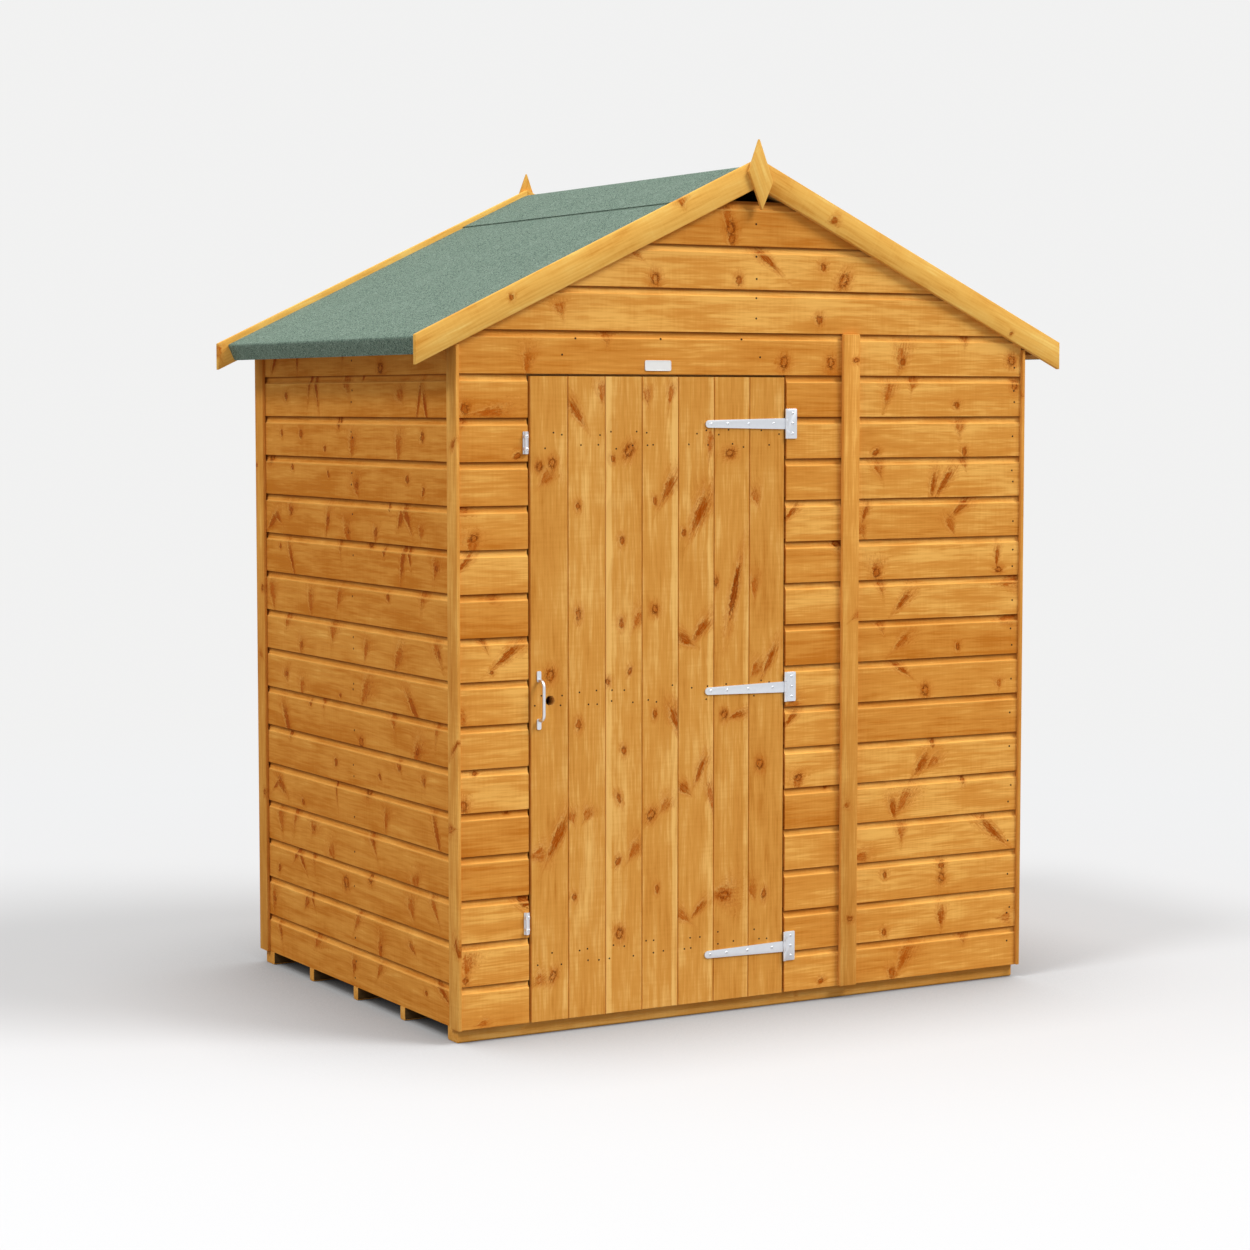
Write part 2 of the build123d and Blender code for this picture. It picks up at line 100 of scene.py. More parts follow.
class Graph:
    """Adds nodes to one shader tree and joins them up."""

    def __init__(self, tree: bpy.types.NodeTree) -> None:
        """Keeps the tree that the nodes go into."""
        self.tree = tree

    def put(self, kind: str, *values: Feed, **settings: object) -> bpy.types.Node:
        """Adds a node.

        Args:
            kind: the node's type.
            values: what goes into its first inputs, in order.
            settings: values set on the node itself.

        Returns:
            The new node.
        """
        node = self.tree.nodes.new(kind)
        for name, value in settings.items():
            setattr(node, name, value)
        for socket, value in zip(node.inputs, values):
            self.feed(socket, value)
        return node

    def feed(self, socket: Socket, value: Feed) -> None:
        """Joins a socket to an input, or sets a plain value on it.

        Args:
            socket: the input.
            value: a socket, a number or a colour.
        """
        if isinstance(value, Socket):
            self.tree.links.new(value, socket)
        elif socket.type == "RGBA":
            socket.default_value = (*value, 1.0)
        else:
            socket.default_value = value

    def maths(self, operation: str, *values: Feed) -> Socket:
        """Adds a sum on single values, by the name that the node has for it."""
        return self.put("ShaderNodeMath", *values, operation=operation).outputs[0]

    def plus(self, first: Feed, second: Feed) -> Socket:
        """Adds two values."""
        return self.maths("ADD", first, second)

    def less(self, first: Feed, second: Feed) -> Socket:
        """Takes the second value from the first."""
        return self.maths("SUBTRACT", first, second)

    def times(self, *values: Feed) -> Socket:
        """Multiplies two values or more."""
        return reduce(lambda first, second: self.maths("MULTIPLY", first, second), values)

    def over(self, first: Feed, second: Feed) -> Socket:
        """Divides the first value by the second."""
        return self.maths("DIVIDE", first, second)

    def length(self, first: Feed, second: Feed) -> Socket:
        """Gives the length of two legs at right angles."""
        total = self.plus(self.times(first, first), self.times(second, second))
        return self.maths("SQRT", total)

    def step(self, value: Feed, low: Feed, high: Feed, start: Feed = 0.0, end: Feed = 1.0) -> Socket:
        """Adds a smooth step from start to end, while the value goes from low to high."""
        parts = (value, low, high, start, end)
        return self.put("ShaderNodeMapRange", *parts, interpolation_type="SMOOTHSTEP").outputs[0]

    def mix(self, factor: Feed, first: Feed, second: Feed) -> Socket:
        """Mixes two colours.

        Args:
            factor: how much of the second colour shows.
            first: the first colour.
            second: the second colour.

        Returns:
            The mixed colour's socket.
        """
        node = self.put("ShaderNodeMix", factor, data_type="RGBA")
        self.feed(node.inputs[MIX_FIRST], first)
        self.feed(node.inputs[MIX_SECOND], second)
        return node.outputs[MIX_RESULT]

    def split(self, vector: Socket) -> tuple[Socket, Socket, Socket]:
        """Splits a vector into its three parts."""
        return tuple(self.put("ShaderNodeSeparateXYZ", vector).outputs)

    def join(self, *parts: Feed) -> Socket:
        """Joins three values into a vector."""
        return self.put("ShaderNodeCombineXYZ", *parts).outputs[0]

    def weighed(self, parts: Sequence[Feed], scales: Floats) -> Socket:
        """Joins three values into a vector, each times its own scale."""
        return self.join(*(self.times(part, scale) for part, scale in zip(parts, scales)))

    def scaled(self, vector: Socket, *scales: float) -> Socket:
        """Scales each part of a vector by its own number."""
        return self.put("ShaderNodeVectorMath", vector, scales, operation="MULTIPLY").outputs[0]

    def cloud(self, vector: Socket, detail: float = 2.0, rough: float = 0.5, scale: float = 1.0) -> Socket:
        """Adds a soft random field.

        Args:
            vector: where the field is read.
            detail: how many finer layers it has.
            rough: how strong the finer layers are.
            scale: the field's repeats per unit.

        Returns:
            The field's value, about one half on average.
        """
        node = self.put("ShaderNodeTexNoise")
        self.feed(node.inputs["Vector"], vector)
        node.inputs["Scale"].default_value = scale
        node.inputs["Detail"].default_value = detail
        node.inputs["Roughness"].default_value = rough
        return node.outputs[0]

    def cells(self, vector: Socket, scale: float) -> bpy.types.Node:
        """Adds a field of random cells.

        Args:
            vector: where the field is read.
            scale: the number of cells per unit.

        Returns:
            The cell node.
        """
        node = self.put("ShaderNodeTexVoronoi", voronoi_dimensions="3D", feature="F1")
        self.feed(node.inputs["Vector"], vector)
        node.inputs["Scale"].default_value = scale
        return node

    def attribute(self, name: str) -> Socket:
        """Reads a vector kept on the mesh."""
        return self.put("ShaderNodeAttribute", attribute_name=name).outputs["Vector"]

    def place(self) -> Socket:
        """Reads the point's place on its own object."""
        return self.put("ShaderNodeTexCoord").outputs["Object"]


class Kind(Enum):
    """The kinds of socket on a node group."""

    VALUE = "NodeSocketFloat"
    COLOUR = "NodeSocketColor"
    VECTOR = "NodeSocketVector"


class Group:
    """A shader node group with named sockets, built once and shared."""

    def __init__(self, name: str, inputs: dict[str, Kind], outputs: dict[str, Kind]) -> None:
        """Makes the empty group.

        Args:
            name: the group's name.
            inputs: the inputs and their kinds.
            outputs: the outputs and their kinds.
        """
        self.tree = bpy.data.node_groups.new(name, "ShaderNodeTree")
        for way, sockets in (("INPUT", inputs), ("OUTPUT", outputs)):
            for title, kind in sockets.items():
                self.tree.interface.new_socket(name=title, in_out=way, socket_type=kind.value)
        self.graph = Graph(self.tree)
        self.source = self.graph.put("NodeGroupInput").outputs
        self.sink = self.graph.put("NodeGroupOutput").inputs

    def use(self, graph: Graph, **values: Feed) -> bpy.types.Node:
        """Places the group in a material.

        Args:
            graph: the material's graph.
            values: what goes into the group's inputs.

        Returns:
            The placed group's node.
        """
        node = graph.put("ShaderNodeGroup", node_tree=self.tree)
        for title, value in values.items():
            graph.feed(node.inputs[title], value)
        return node


@cache
def group_of(maker: type) -> Group:
    """Builds a maker's node group the first time, and gives the same one later."""
    return maker().build()


@dataclass(frozen=True)
class KnotLook:
    """How one kind of knot looks and grows.

    The heart and rim are strengths, the half sizes are in metres, the lean is the most in
    degrees, and the share says how common the kind is.
    """

    heart: float
    rim: float
    long: tuple[float, float]
    wide: tuple[float, float]
    lean: float
    share: int


class KnotKind(Enum):
    """The kinds of knot on the boards."""

    SMUDGE = KnotLook(0.74, 0.12, (14 * MM, 38 * MM), (9 * MM, 17 * MM), 38.0, 9)
    RING = KnotLook(0.46, 0.95, (10 * MM, 19 * MM), (9 * MM, 16 * MM), 15.0, 2)
    SPIKE = KnotLook(1.00, 0.42, (16 * MM, 46 * MM), (5 * MM, 12 * MM), 60.0, 4)
    EYE = KnotLook(0.84, 0.80, (5 * MM, 12 * MM), (5 * MM, 10 * MM), 35.0, 5)
    BARK = KnotLook(1.00, 1.00, (50 * MM, 70 * MM), (6 * MM, 11 * MM), 80.0, 0)


@dataclass(frozen=True)
class Knot:
    """One knot, placed along and across its board.

    It leans from the way across the board towards the way along it.
    """

    along: float
    across: float
    lean: float
    long: float
    wide: float
    kind: KnotKind

    def seen_from(self, along: float, across: float) -> tuple[float, float, float]:
        """Gives a point's place in the knot's own axes, with the strength of its heart.

        Args:
            along: the point's place along the board.
            across: the point's place across the board.

        Returns:
            How far the point lies along the knot, how far to its side, and the strength.
        """
        a, c = along - self.along, across - self.across
        cosine, sine = math.cos(self.lean), math.sin(self.lean)
        return c * cosine + a * sine, a * cosine - c * sine, self.kind.value.heart

    def form(self) -> tuple[float, float, float]:
        """Gives the knot's half length, its half width and the strength of its rim."""
        return self.long, self.wide, self.kind.value.rim


@dataclass(frozen=True)
class Mark:
    """A knot that stands out on the front of the shed, given in a list.

    The row counts boards from the left or from the foot. Up and right are shares of the board
    as it is seen, the lean is in degrees from upright towards the right, and the half sizes are
    in millimetres.
    """

    row: int
    up: float
    right: float
    kind: KnotKind
    lean: float
    long: float
    wide: float

    def on_upright(self, length: float, width: float) -> Knot:
        """Gives the knot on an upright board, which runs upwards with its right side first."""
        lean, across = QUARTER + math.radians(self.lean), (0.5 - self.right) * width
        return Knot(self.up * length, across, lean, self.long * MM, self.wide * MM, self.kind)

    def on_level(self, seen: tuple[float, float], cover: float, middle: float) -> Knot:
        """Gives the knot on a level board, which runs to the right with its foot first.

        Args:
            seen: where the part of the board that shows starts and ends, along it.
            cover: the height that the board covers.
            middle: the height of the board's middle line over its foot.

        Returns:
            The knot.
        """
        start, end = seen
        along, across = start + self.right * (end - start), self.up * cover - middle
        return Knot(along, across, math.radians(self.lean), self.long * MM, self.wide * MM, self.kind)


# Stands in where a list has no knot, too far off to show
NO_KNOT = Knot(along=9.0, across=9.0, lean=0.0, long=0.01, wide=0.01, kind=KnotKind.SMUDGE)
KNOT_LISTS = 3
SMUDGE, RING, SPIKE, EYE, BARK = KnotKind

DOOR_MARKS = (
    Mark(1, 0.862, 0.25, RING, 0, 10, 9),
    Mark(1, 0.867, 0.58, RING, 12, 13, 9),
    Mark(1, 0.845, 0.42, SMUDGE, 40, 18, 10),
    Mark(1, 0.540, 0.52, RING, 20, 15, 11),
    Mark(1, 0.285, 0.70, SPIKE, 28, 44, 10),
    Mark(1, 0.262, 0.20, SMUDGE, 80, 18, 13),
    Mark(1, 0.070, 0.58, RING, 25, 14, 8),
    Mark(1, 0.065, 0.20, SMUDGE, 60, 14, 10),
    Mark(2, 0.945, 0.22, SPIKE, -35, 28, 8),
    Mark(2, 0.975, 0.92, SMUDGE, 0, 22, 9),
    Mark(2, 0.800, 0.27, EYE, 0, 9, 6),
    Mark(2, 0.632, 0.27, EYE, 0, 14, 7),
    Mark(2, 0.460, 0.28, EYE, 0, 12, 7),
    Mark(2, 0.315, 0.10, SMUDGE, -20, 12, 8),
    Mark(2, 0.318, 0.50, SMUDGE, 30, 14, 8),
    Mark(2, 0.190, 0.15, EYE, 0, 8, 6),
    Mark(3, 0.885, 0.64, RING, 30, 17, 11),
    Mark(3, 0.872, 0.20, EYE, 0, 8, 6),
    Mark(3, 0.745, 0.45, EYE, 0, 10, 6),
    Mark(3, 0.615, 0.43, EYE, 0, 11, 6),
    Mark(3, 0.620, 0.88, SMUDGE, 30, 20, 9),
    Mark(3, 0.525, 0.06, EYE, 0, 8, 7),
    Mark(3, 0.540, 0.66, EYE, 20, 9, 5),
    Mark(3, 0.415, 0.50, EYE, 0, 10, 6),
    Mark(3, 0.340, 0.37, EYE, -20, 12, 6),
    Mark(3, 0.255, 0.78, SMUDGE, 35, 22, 10),
    Mark(3, 0.240, 0.33, EYE, 30, 10, 6),
    Mark(3, 0.125, 0.38, RING, 0, 14, 10),
    Mark(4, 0.970, 0.13, SMUDGE, -10, 16, 8),
    Mark(4, 0.972, 0.78, SMUDGE, 10, 22, 6),
    Mark(4, 0.825, 0.72, SPIKE, 30, 30, 9),
    Mark(4, 0.805, 0.35, EYE, 0, 9, 5),
    Mark(4, 0.635, 0.35, RING, 0, 11, 9),
    Mark(4, 0.460, 0.90, SPIKE, -15, 26, 9),
    Mark(4, 0.470, 0.35, EYE, 0, 10, 6),
    Mark(4, 0.310, 0.26, RING, 40, 14, 10),
    Mark(4, 0.322, 0.62, SMUDGE, 40, 18, 8),
    Mark(4, 0.190, 0.42, EYE, 0, 10, 5),
    Mark(5, 0.895, 0.88, SMUDGE, 5, 26, 7),
    Mark(5, 0.785, 0.60, SPIKE, 26, 40, 13),
    Mark(5, 0.755, 0.15, EYE, 0, 9, 6),
    Mark(5, 0.600, 0.62, SPIKE, 40, 26, 9),
    Mark(5, 0.585, 0.20, SPIKE, -60, 20, 9),
    Mark(5, 0.375, 0.62, SPIKE, 25, 27, 7),
    Mark(5, 0.347, 0.17, SPIKE, -50, 15, 9),
    Mark(5, 0.330, 0.92, SMUDGE, -10, 34, 7),
    Mark(5, 0.152, 0.58, SPIKE, 45, 20, 6),
    Mark(5, 0.142, 0.15, SMUDGE, -50, 20, 8),
    Mark(6, 0.880, 0.45, RING, 80, 14, 10),
    Mark(6, 0.660, 0.58, BARK, 12, 60, 8),
    Mark(6, 0.675, 0.06, EYE, 0, 12, 6),
    Mark(6, 0.462, 0.30, RING, 0, 11, 9),
    Mark(6, 0.460, 0.66, SPIKE, 75, 20, 6),
    Mark(6, 0.172, 0.25, SMUDGE, 90, 28, 17),
    Mark(6, 0.170, 0.30, RING, 90, 16, 10),
    Mark(7, 0.810, 0.17, SMUDGE, -20, 18, 9),
    Mark(7, 0.665, 0.15, SMUDGE, 0, 22, 8),
    Mark(7, 0.545, 0.58, SPIKE, 28, 32, 7),
    Mark(7, 0.532, 0.20, SMUDGE, 40, 18, 10),
    Mark(7, 0.378, 0.32, RING, 0, 13, 10),
    Mark(7, 0.172, 0.12, SMUDGE, -15, 18, 8),
    Mark(7, 0.165, 0.45, EYE, 10, 12, 7),
)
PLAIN_MARKS = (
    Mark(16, 0.42, 0.26, SMUDGE, 10, 30, 12),
    Mark(16, 0.34, 0.27, EYE, 0, 10, 8),
    Mark(16, 0.40, 0.94, RING, 0, 13, 11),
    Mark(16, 0.90, 0.65, SMUDGE, 0, 12, 9),
    Mark(15, 0.55, 0.18, SMUDGE, 15, 26, 10),
    Mark(15, 0.28, 0.60, EYE, 0, 8, 8),
    Mark(15, 0.78, 0.96, RING, 0, 12, 9),
    Mark(15, 0.85, 0.33, SMUDGE, 10, 18, 9),
    Mark(14, 0.13, 0.11, EYE, 60, 10, 7),
    Mark(14, 0.75, 0.62, SMUDGE, 0, 18, 10),
    Mark(14, 0.12, 0.65, EYE, 0, 10, 7),
    Mark(13, 0.72, 0.13, SMUDGE, -20, 18, 9),
    Mark(13, 0.84, 0.65, SMUDGE, -20, 12, 8),
    Mark(13, 0.30, 0.46, SPIKE, 12, 26, 7),
    Mark(13, 0.38, 0.53, SPIKE, 36, 34, 8),
    Mark(12, 0.66, 0.05, SPIKE, 20, 20, 5),
    Mark(12, 0.20, 0.03, SMUDGE, -25, 14, 8),
    Mark(12, 0.76, 0.63, SPIKE, 52, 30, 8),
    Mark(12, 0.30, 0.57, SMUDGE, -25, 20, 9),
    Mark(11, 0.22, 0.12, SMUDGE, 0, 20, 12),
    Mark(11, 0.17, 0.12, RING, 0, 13, 11),
    Mark(11, 0.48, 0.86, SPIKE, 5, 22, 5),
    Mark(11, 0.15, 0.87, RING, 90, 10, 8),
    Mark(10, 0.85, 0.15, SMUDGE, -10, 18, 8),
    Mark(10, 0.45, 0.28, SPIKE, 45, 26, 8),
    Mark(10, 0.85, 0.94, SMUDGE, 80, 30, 12),
    Mark(9, 0.85, 0.15, SMUDGE, -20, 16, 8),
    Mark(9, 0.42, 0.27, SMUDGE, 50, 26, 9),
    Mark(9, 0.90, 0.93, SMUDGE, 80, 26, 12),
    Mark(9, 0.25, 0.62, EYE, 0, 9, 6),
    Mark(8, 0.78, 0.27, SPIKE, -55, 26, 7),
    Mark(8, 0.20, 0.42, RING, 0, 14, 10),
    Mark(8, 0.25, 0.88, SMUDGE, 0, 10, 7),
    Mark(6, 0.85, 0.47, EYE, 0, 10, 6),
    Mark(6, 0.35, 0.40, SPIKE, 40, 24, 10),
    Mark(6, 0.38, 0.47, SMUDGE, 50, 20, 9),
    Mark(5, 0.88, 0.66, EYE, 0, 10, 6),
    Mark(5, 0.30, 0.23, SPIKE, -10, 22, 8),
    Mark(5, 0.45, 0.29, SMUDGE, 35, 34, 12),
    Mark(4, 0.70, 0.28, SMUDGE, 0, 20, 9),
    Mark(4, 0.80, 0.79, SMUDGE, 0, 14, 6),
    Mark(4, 0.50, 0.85, SPIKE, -50, 42, 9),
    Mark(4, 0.15, 0.03, SMUDGE, 90, 20, 9),
    Mark(3, 0.65, 0.18, EYE, 0, 8, 7),
    Mark(3, 0.75, 0.53, EYE, 0, 11, 9),
    Mark(3, 0.45, 0.53, RING, 0, 13, 9),
    Mark(2, 0.45, 0.53, SPIKE, 0, 20, 8),
    Mark(2, 0.20, 0.18, EYE, 0, 9, 7),
    Mark(2, 0.25, 0.93, SMUDGE, 90, 16, 9),
    Mark(1, 0.85, 0.67, SMUDGE, 0, 12, 9),
    Mark(1, 0.48, 0.30, SMUDGE, 30, 38, 13),
    Mark(1, 0.15, 0.23, SPIKE, 0, 14, 9),
)
GABLE_MARKS = (
    Mark(1, 0.33, 0.615, EYE, 0, 11, 9),
    Mark(1, 0.48, 0.165, SMUDGE, -20, 14, 9),
    Mark(2, 0.20, 0.325, RING, 0, 14, 11),
    Mark(2, 0.20, 0.470, EYE, 0, 12, 8),
    Mark(2, 0.25, 0.660, RING, 30, 18, 12),
    Mark(2, 0.56, 0.622, EYE, 0, 9, 8),
    Mark(2, 0.70, 0.520, SPIKE, -50, 34, 8),
    Mark(2, 0.80, 0.290, SMUDGE, -50, 18, 8),
    Mark(3, 0.40, 0.456, RING, 0, 18, 12),
    Mark(3, 0.16, 0.458, EYE, 0, 14, 9),
    Mark(3, 0.66, 0.450, SMUDGE, 0, 22, 9),
)
DOOR_LEFT_MARKS = (
    Mark(15, 0.20, 0.09, EYE, 0, 13, 11),
    Mark(15, 0.12, 0.42, SMUDGE, 85, 40, 9),
    Mark(14, 0.90, 0.04, SMUDGE, 20, 14, 9),
    Mark(14, 0.13, 0.84, EYE, 60, 10, 8),
    Mark(12, 0.28, 0.21, RING, 60, 12, 9),
    Mark(12, 0.11, 0.19, SMUDGE, 0, 18, 12),
    Mark(12, 0.92, 0.05, SMUDGE, 70, 16, 8),
    Mark(11, 0.72, 0.08, SPIKE, 45, 24, 6),
    Mark(10, 0.93, 0.47, SMUDGE, 80, 14, 9),
    Mark(9, 0.88, 0.35, SPIKE, -25, 14, 5),
    Mark(9, 0.57, 0.68, SPIKE, 52, 34, 8),
    Mark(9, 0.20, 0.46, EYE, 0, 5, 5),
    Mark(8, 0.12, 0.03, SMUDGE, -35, 16, 9),
    Mark(6, 0.90, 0.22, EYE, 60, 7, 5),
    Mark(6, 0.17, 0.05, EYE, 0, 13, 10),
    Mark(5, 0.97, 0.68, EYE, 80, 6, 5),
    Mark(3, 0.86, 0.94, BARK, -60, 20, 12),
    Mark(2, 0.50, 0.10, SMUDGE, 10, 22, 13),
    Mark(2, 0.14, 0.07, EYE, 0, 9, 7),
    Mark(1, 0.10, 0.30, SMUDGE, 80, 12, 6),
)
DOOR_RIGHT_MARKS = (
    Mark(12, 0.72, 0.10, SPIKE, 45, 23, 6),
    Mark(11, 0.90, 0.95, BARK, -55, 16, 10),
    Mark(8, 0.06, 0.12, SMUDGE, 80, 18, 8),
    Mark(7, 0.72, 0.10, SPIKE, 45, 23, 6),
    Mark(6, 0.25, 0.24, RING, 60, 12, 9),
    Mark(6, 0.10, 0.22, SMUDGE, 0, 17, 11),
    Mark(5, 0.97, 0.76, EYE, 80, 6, 5),
    Mark(1, 0.18, 0.68, EYE, 70, 8, 6),
)
HEADER_MARKS = (
    Mark(16, 0.25, 0.17, SMUDGE, 5, 26, 9),
    Mark(16, 0.85, 0.37, SMUDGE, 0, 14, 10),
    Mark(16, 0.30, 0.84, RING, 10, 16, 11),
    Mark(16, 0.30, 0.97, RING, 0, 16, 10),
)


def deal(knots: Sequence[Knot]) -> list[list[Knot]]:
    """Deals a board's knots into lists, so that knots in one list lie well apart.

    Args:
        knots: the board's knots.

    Returns:
        The lists, each in order along the board.
    """
    lists: list[list[Knot]] = [[] for _ in range(KNOT_LISTS)]
    for knot in sorted(knots, key=lambda item: item.along):
        room = [knot.along - row[-1].along if row else math.inf for row in lists]
        lists[room.index(max(room))].append(knot)
    return lists


def seams(knots: Sequence[Knot]) -> list[float]:
    """Lists the places along a board where one knot's field ends and the next begins.

    Args:
        knots: the board's knots.

    Returns:
        The places, in metres from the board's start.
    """
    return [(a.along + b.along) / 2 for row in deal(knots) for a, b in zip(row, row[1:])]


def grown(rng: random.Random, kind: KnotKind, along: float, across: float, lean: float, size: float) -> Knot:
    """Grows one knot of a kind.

    Args:
        rng: the source of random numbers.
        kind: the knot's kind.
        along: its place along the board.
        across: its place across the board.
        lean: the share of the kind's lean, with its sign.
        size: the share of the kind's full size.

    Returns:
        The knot.
    """
    look = kind.value
    long, wide = (rng.uniform(*sizes) * size for sizes in (look.long, look.wide))
    return Knot(along, across, math.radians(look.lean * lean), long, wide, kind)


@dataclass(frozen=True)
class Scatter:
    """How knots spread over a board, in shares of their mean gap and of the board's width."""

    full_width: float = 110 * MM
    first: Floats = (0.1, 1.1)
    following: Floats = (0.4, 1.6)
    reach: float = 0.42
    eye_chance: float = 0.40
    eye_shift: float = 4 * MM
    eye_across: float = 0.8
    pair_chance: float = 0.28
    pair_gap: float = 40 * MM
    pair_across: float = 0.5

    def over(self, rng: random.Random, length: float, width: float, gap: float) -> list[Knot]:
        """Scatters knots along a board: single ones, smudges with an eye and pairs of spikes.

        Args:
            rng: the source of random numbers.
            length: the board's length.
            width: the board's width.
            gap: the mean gap between knots.

        Returns:
            The knots.
        """
        found = []
        kinds = list(KnotKind)
        shares = [kind.value.share for kind in kinds]
        size = min(1.0, width / self.full_width)
        along = rng.uniform(*self.first) * gap
        while along < length:
            kind = rng.choices(kinds, shares)[0]
            across, lean = rng.uniform(-self.reach, self.reach) * width, rng.uniform(-1.0, 1.0)
            found.append(grown(rng, kind, along, across, lean, size))
            twin = rng.random()
            if kind is SMUDGE and twin < self.eye_chance:
                place = along + self.eye_shift
                found.append(grown(rng, EYE, place, across * self.eye_across, lean, size))
            elif kind is SPIKE and twin < self.pair_chance:
                place = along + math.copysign(self.pair_gap * size, lean)
                found.append(grown(rng, kind, place, across * self.pair_across, -lean, size))
            along += rng.uniform(*self.following) * gap
        return found


SCATTER = Scatter()


@dataclass(frozen=True)
class Layer:
    """A soft field in the wood, with its repeats per metre along, across and out of the board."""

    scales: Floats
    detail: float
    rough: float

    def read(self, graph: Graph, place: Socket) -> Socket:
        """Adds the field to a graph, read at a place in the grain."""
        return graph.cloud(graph.scaled(place, *self.scales), self.detail, self.rough)


@dataclass(frozen=True)
class KnotMarks:
    """The marks of one knot: its heart, its rim, the wood round it and a pale cheek.

    A band says where a smooth step begins and ends, and what it gives there unless that is 0
    and 1. Most bands are in half sizes of the knot from its middle. A line is a slope and a start.
    """

    fibre_scales: Floats = (34.0, 230.0, 90.0)
    fibre_field: Floats = (1.0, 0.70)  # detail and roughness
    feather_band: Floats = (0.34, 0.62, 0.38, 1.0)
    narrow_line: Floats = (-0.60, 0.55)
    taper_start: float = 1.02
    taper_least: float = 0.34
    fray: float = 2.7
    edge_line: Floats = (-0.6, 1.65)
    full_share: float = 0.68
    ring_rise: Floats = (0.50, 0.86)
    ring_fall: Floats = (1.28, 0.98)
    ring_fray: Floats = (-0.14, 0.04, 0.30, 1.0)
    swirl_turns: float = 11.0
    swirl_fray: float = 6.0
    swirl_band: Floats = (0.2, 0.95)
    swirl_reach: Floats = (2.1, 0.7)
    swirl_share: float = 0.55
    core_band: Floats = (0.95, 0.20)
    core_power: float = 3.0
    core_line: Floats = (0.80, 0.16)
    halo_band: Floats = (3.6, 0.4)
    cheek_rise: Floats = (1.05, 1.30)
    cheek_fall: Floats = (2.1, 1.35)
    cheek_side: Floats = (-0.25, -0.9)
    cheek_heart: Floats = (0.4, 0.9)

    def build(self) -> Group:
        """Builds the group.

        Returns:
            The group with its four masks.
        """
        inputs = {"Place": Kind.VECTOR, "Form": Kind.VECTOR, "Ragged": Kind.VALUE}
        outputs = dict.fromkeys(("Heart", "Rim", "Halo", "Cheek"), Kind.VALUE)
        group = Group("knot_marks", inputs, outputs)
        graph, source, sink = group.graph, group.source, group.sink
        reach, side, heart = graph.split(source["Place"])
        long, wide, rim = graph.split(source["Form"])
        ragged = source["Ragged"]
        fibres = graph.weighed((reach, side, long), self.fibre_scales)
        feather = graph.step(graph.cloud(fibres, *self.fibre_field), *self.feather_band)
        reach = graph.over(reach, long)
        narrow = graph.maths("MULTIPLY_ADD", rim, *self.narrow_line)
        taper = graph.maths("MULTIPLY_ADD", reach, narrow, self.taper_start)
        taper = graph.maths("MAXIMUM", taper, self.taper_least)
        side = graph.over(side, graph.times(wide, taper))
        far = graph.plus(graph.length(reach, side), graph.times(ragged, self.fray))
        strong = graph.maths("MAXIMUM", heart, rim)
        outer = graph.maths("MULTIPLY_ADD", heart, *self.edge_line)
        body = graph.times(graph.step(far, outer, graph.times(heart, self.full_share)), heart)
        graph.feed(sink["Heart"], graph.times(body, feather))
        rise, fall = graph.step(far, *self.ring_rise), graph.step(far, *self.ring_fall)
        ring = graph.times(rise, fall, rim, graph.step(ragged, *self.ring_fray))
        wave = graph.plus(graph.times(far, self.swirl_turns), graph.times(ragged, self.swirl_fray))
        swirl = graph.step(graph.maths("SINE", wave), *self.swirl_band)
        swirl = graph.times(swirl, graph.step(far, *self.swirl_reach), strong, self.swirl_share)
        dense = graph.maths("POWER", heart, self.core_power)
        inner = graph.maths("MULTIPLY_ADD", rim, *self.core_line)
        core = graph.times(graph.step(far, *self.core_band), dense, inner)
        ring = graph.maths("MAXIMUM", ring, swirl)
        graph.feed(sink["Rim"], graph.maths("MAXIMUM", ring, graph.times(core, feather)))
        halo = graph.times(graph.step(far, *self.halo_band), strong)
        graph.feed(sink["Halo"], graph.times(halo, feather))
        rise, fall = graph.step(far, *self.cheek_rise), graph.step(far, *self.cheek_fall)
        below, strength = graph.step(side, *self.cheek_side), graph.step(heart, *self.cheek_heart)
        graph.feed(sink["Cheek"], graph.times(rise, fall, below, strength))
        return group


PINE_COLOURS = ("Pale", "Mid", "Deep", "Knot", "Rim")
# Joint sets the strength of the painted highlight on the cove's rim and the painted shade under the lip
PINE_VALUES = ("Lots", "Rings", "Fall", "Sap", "Joint", "Streaks")


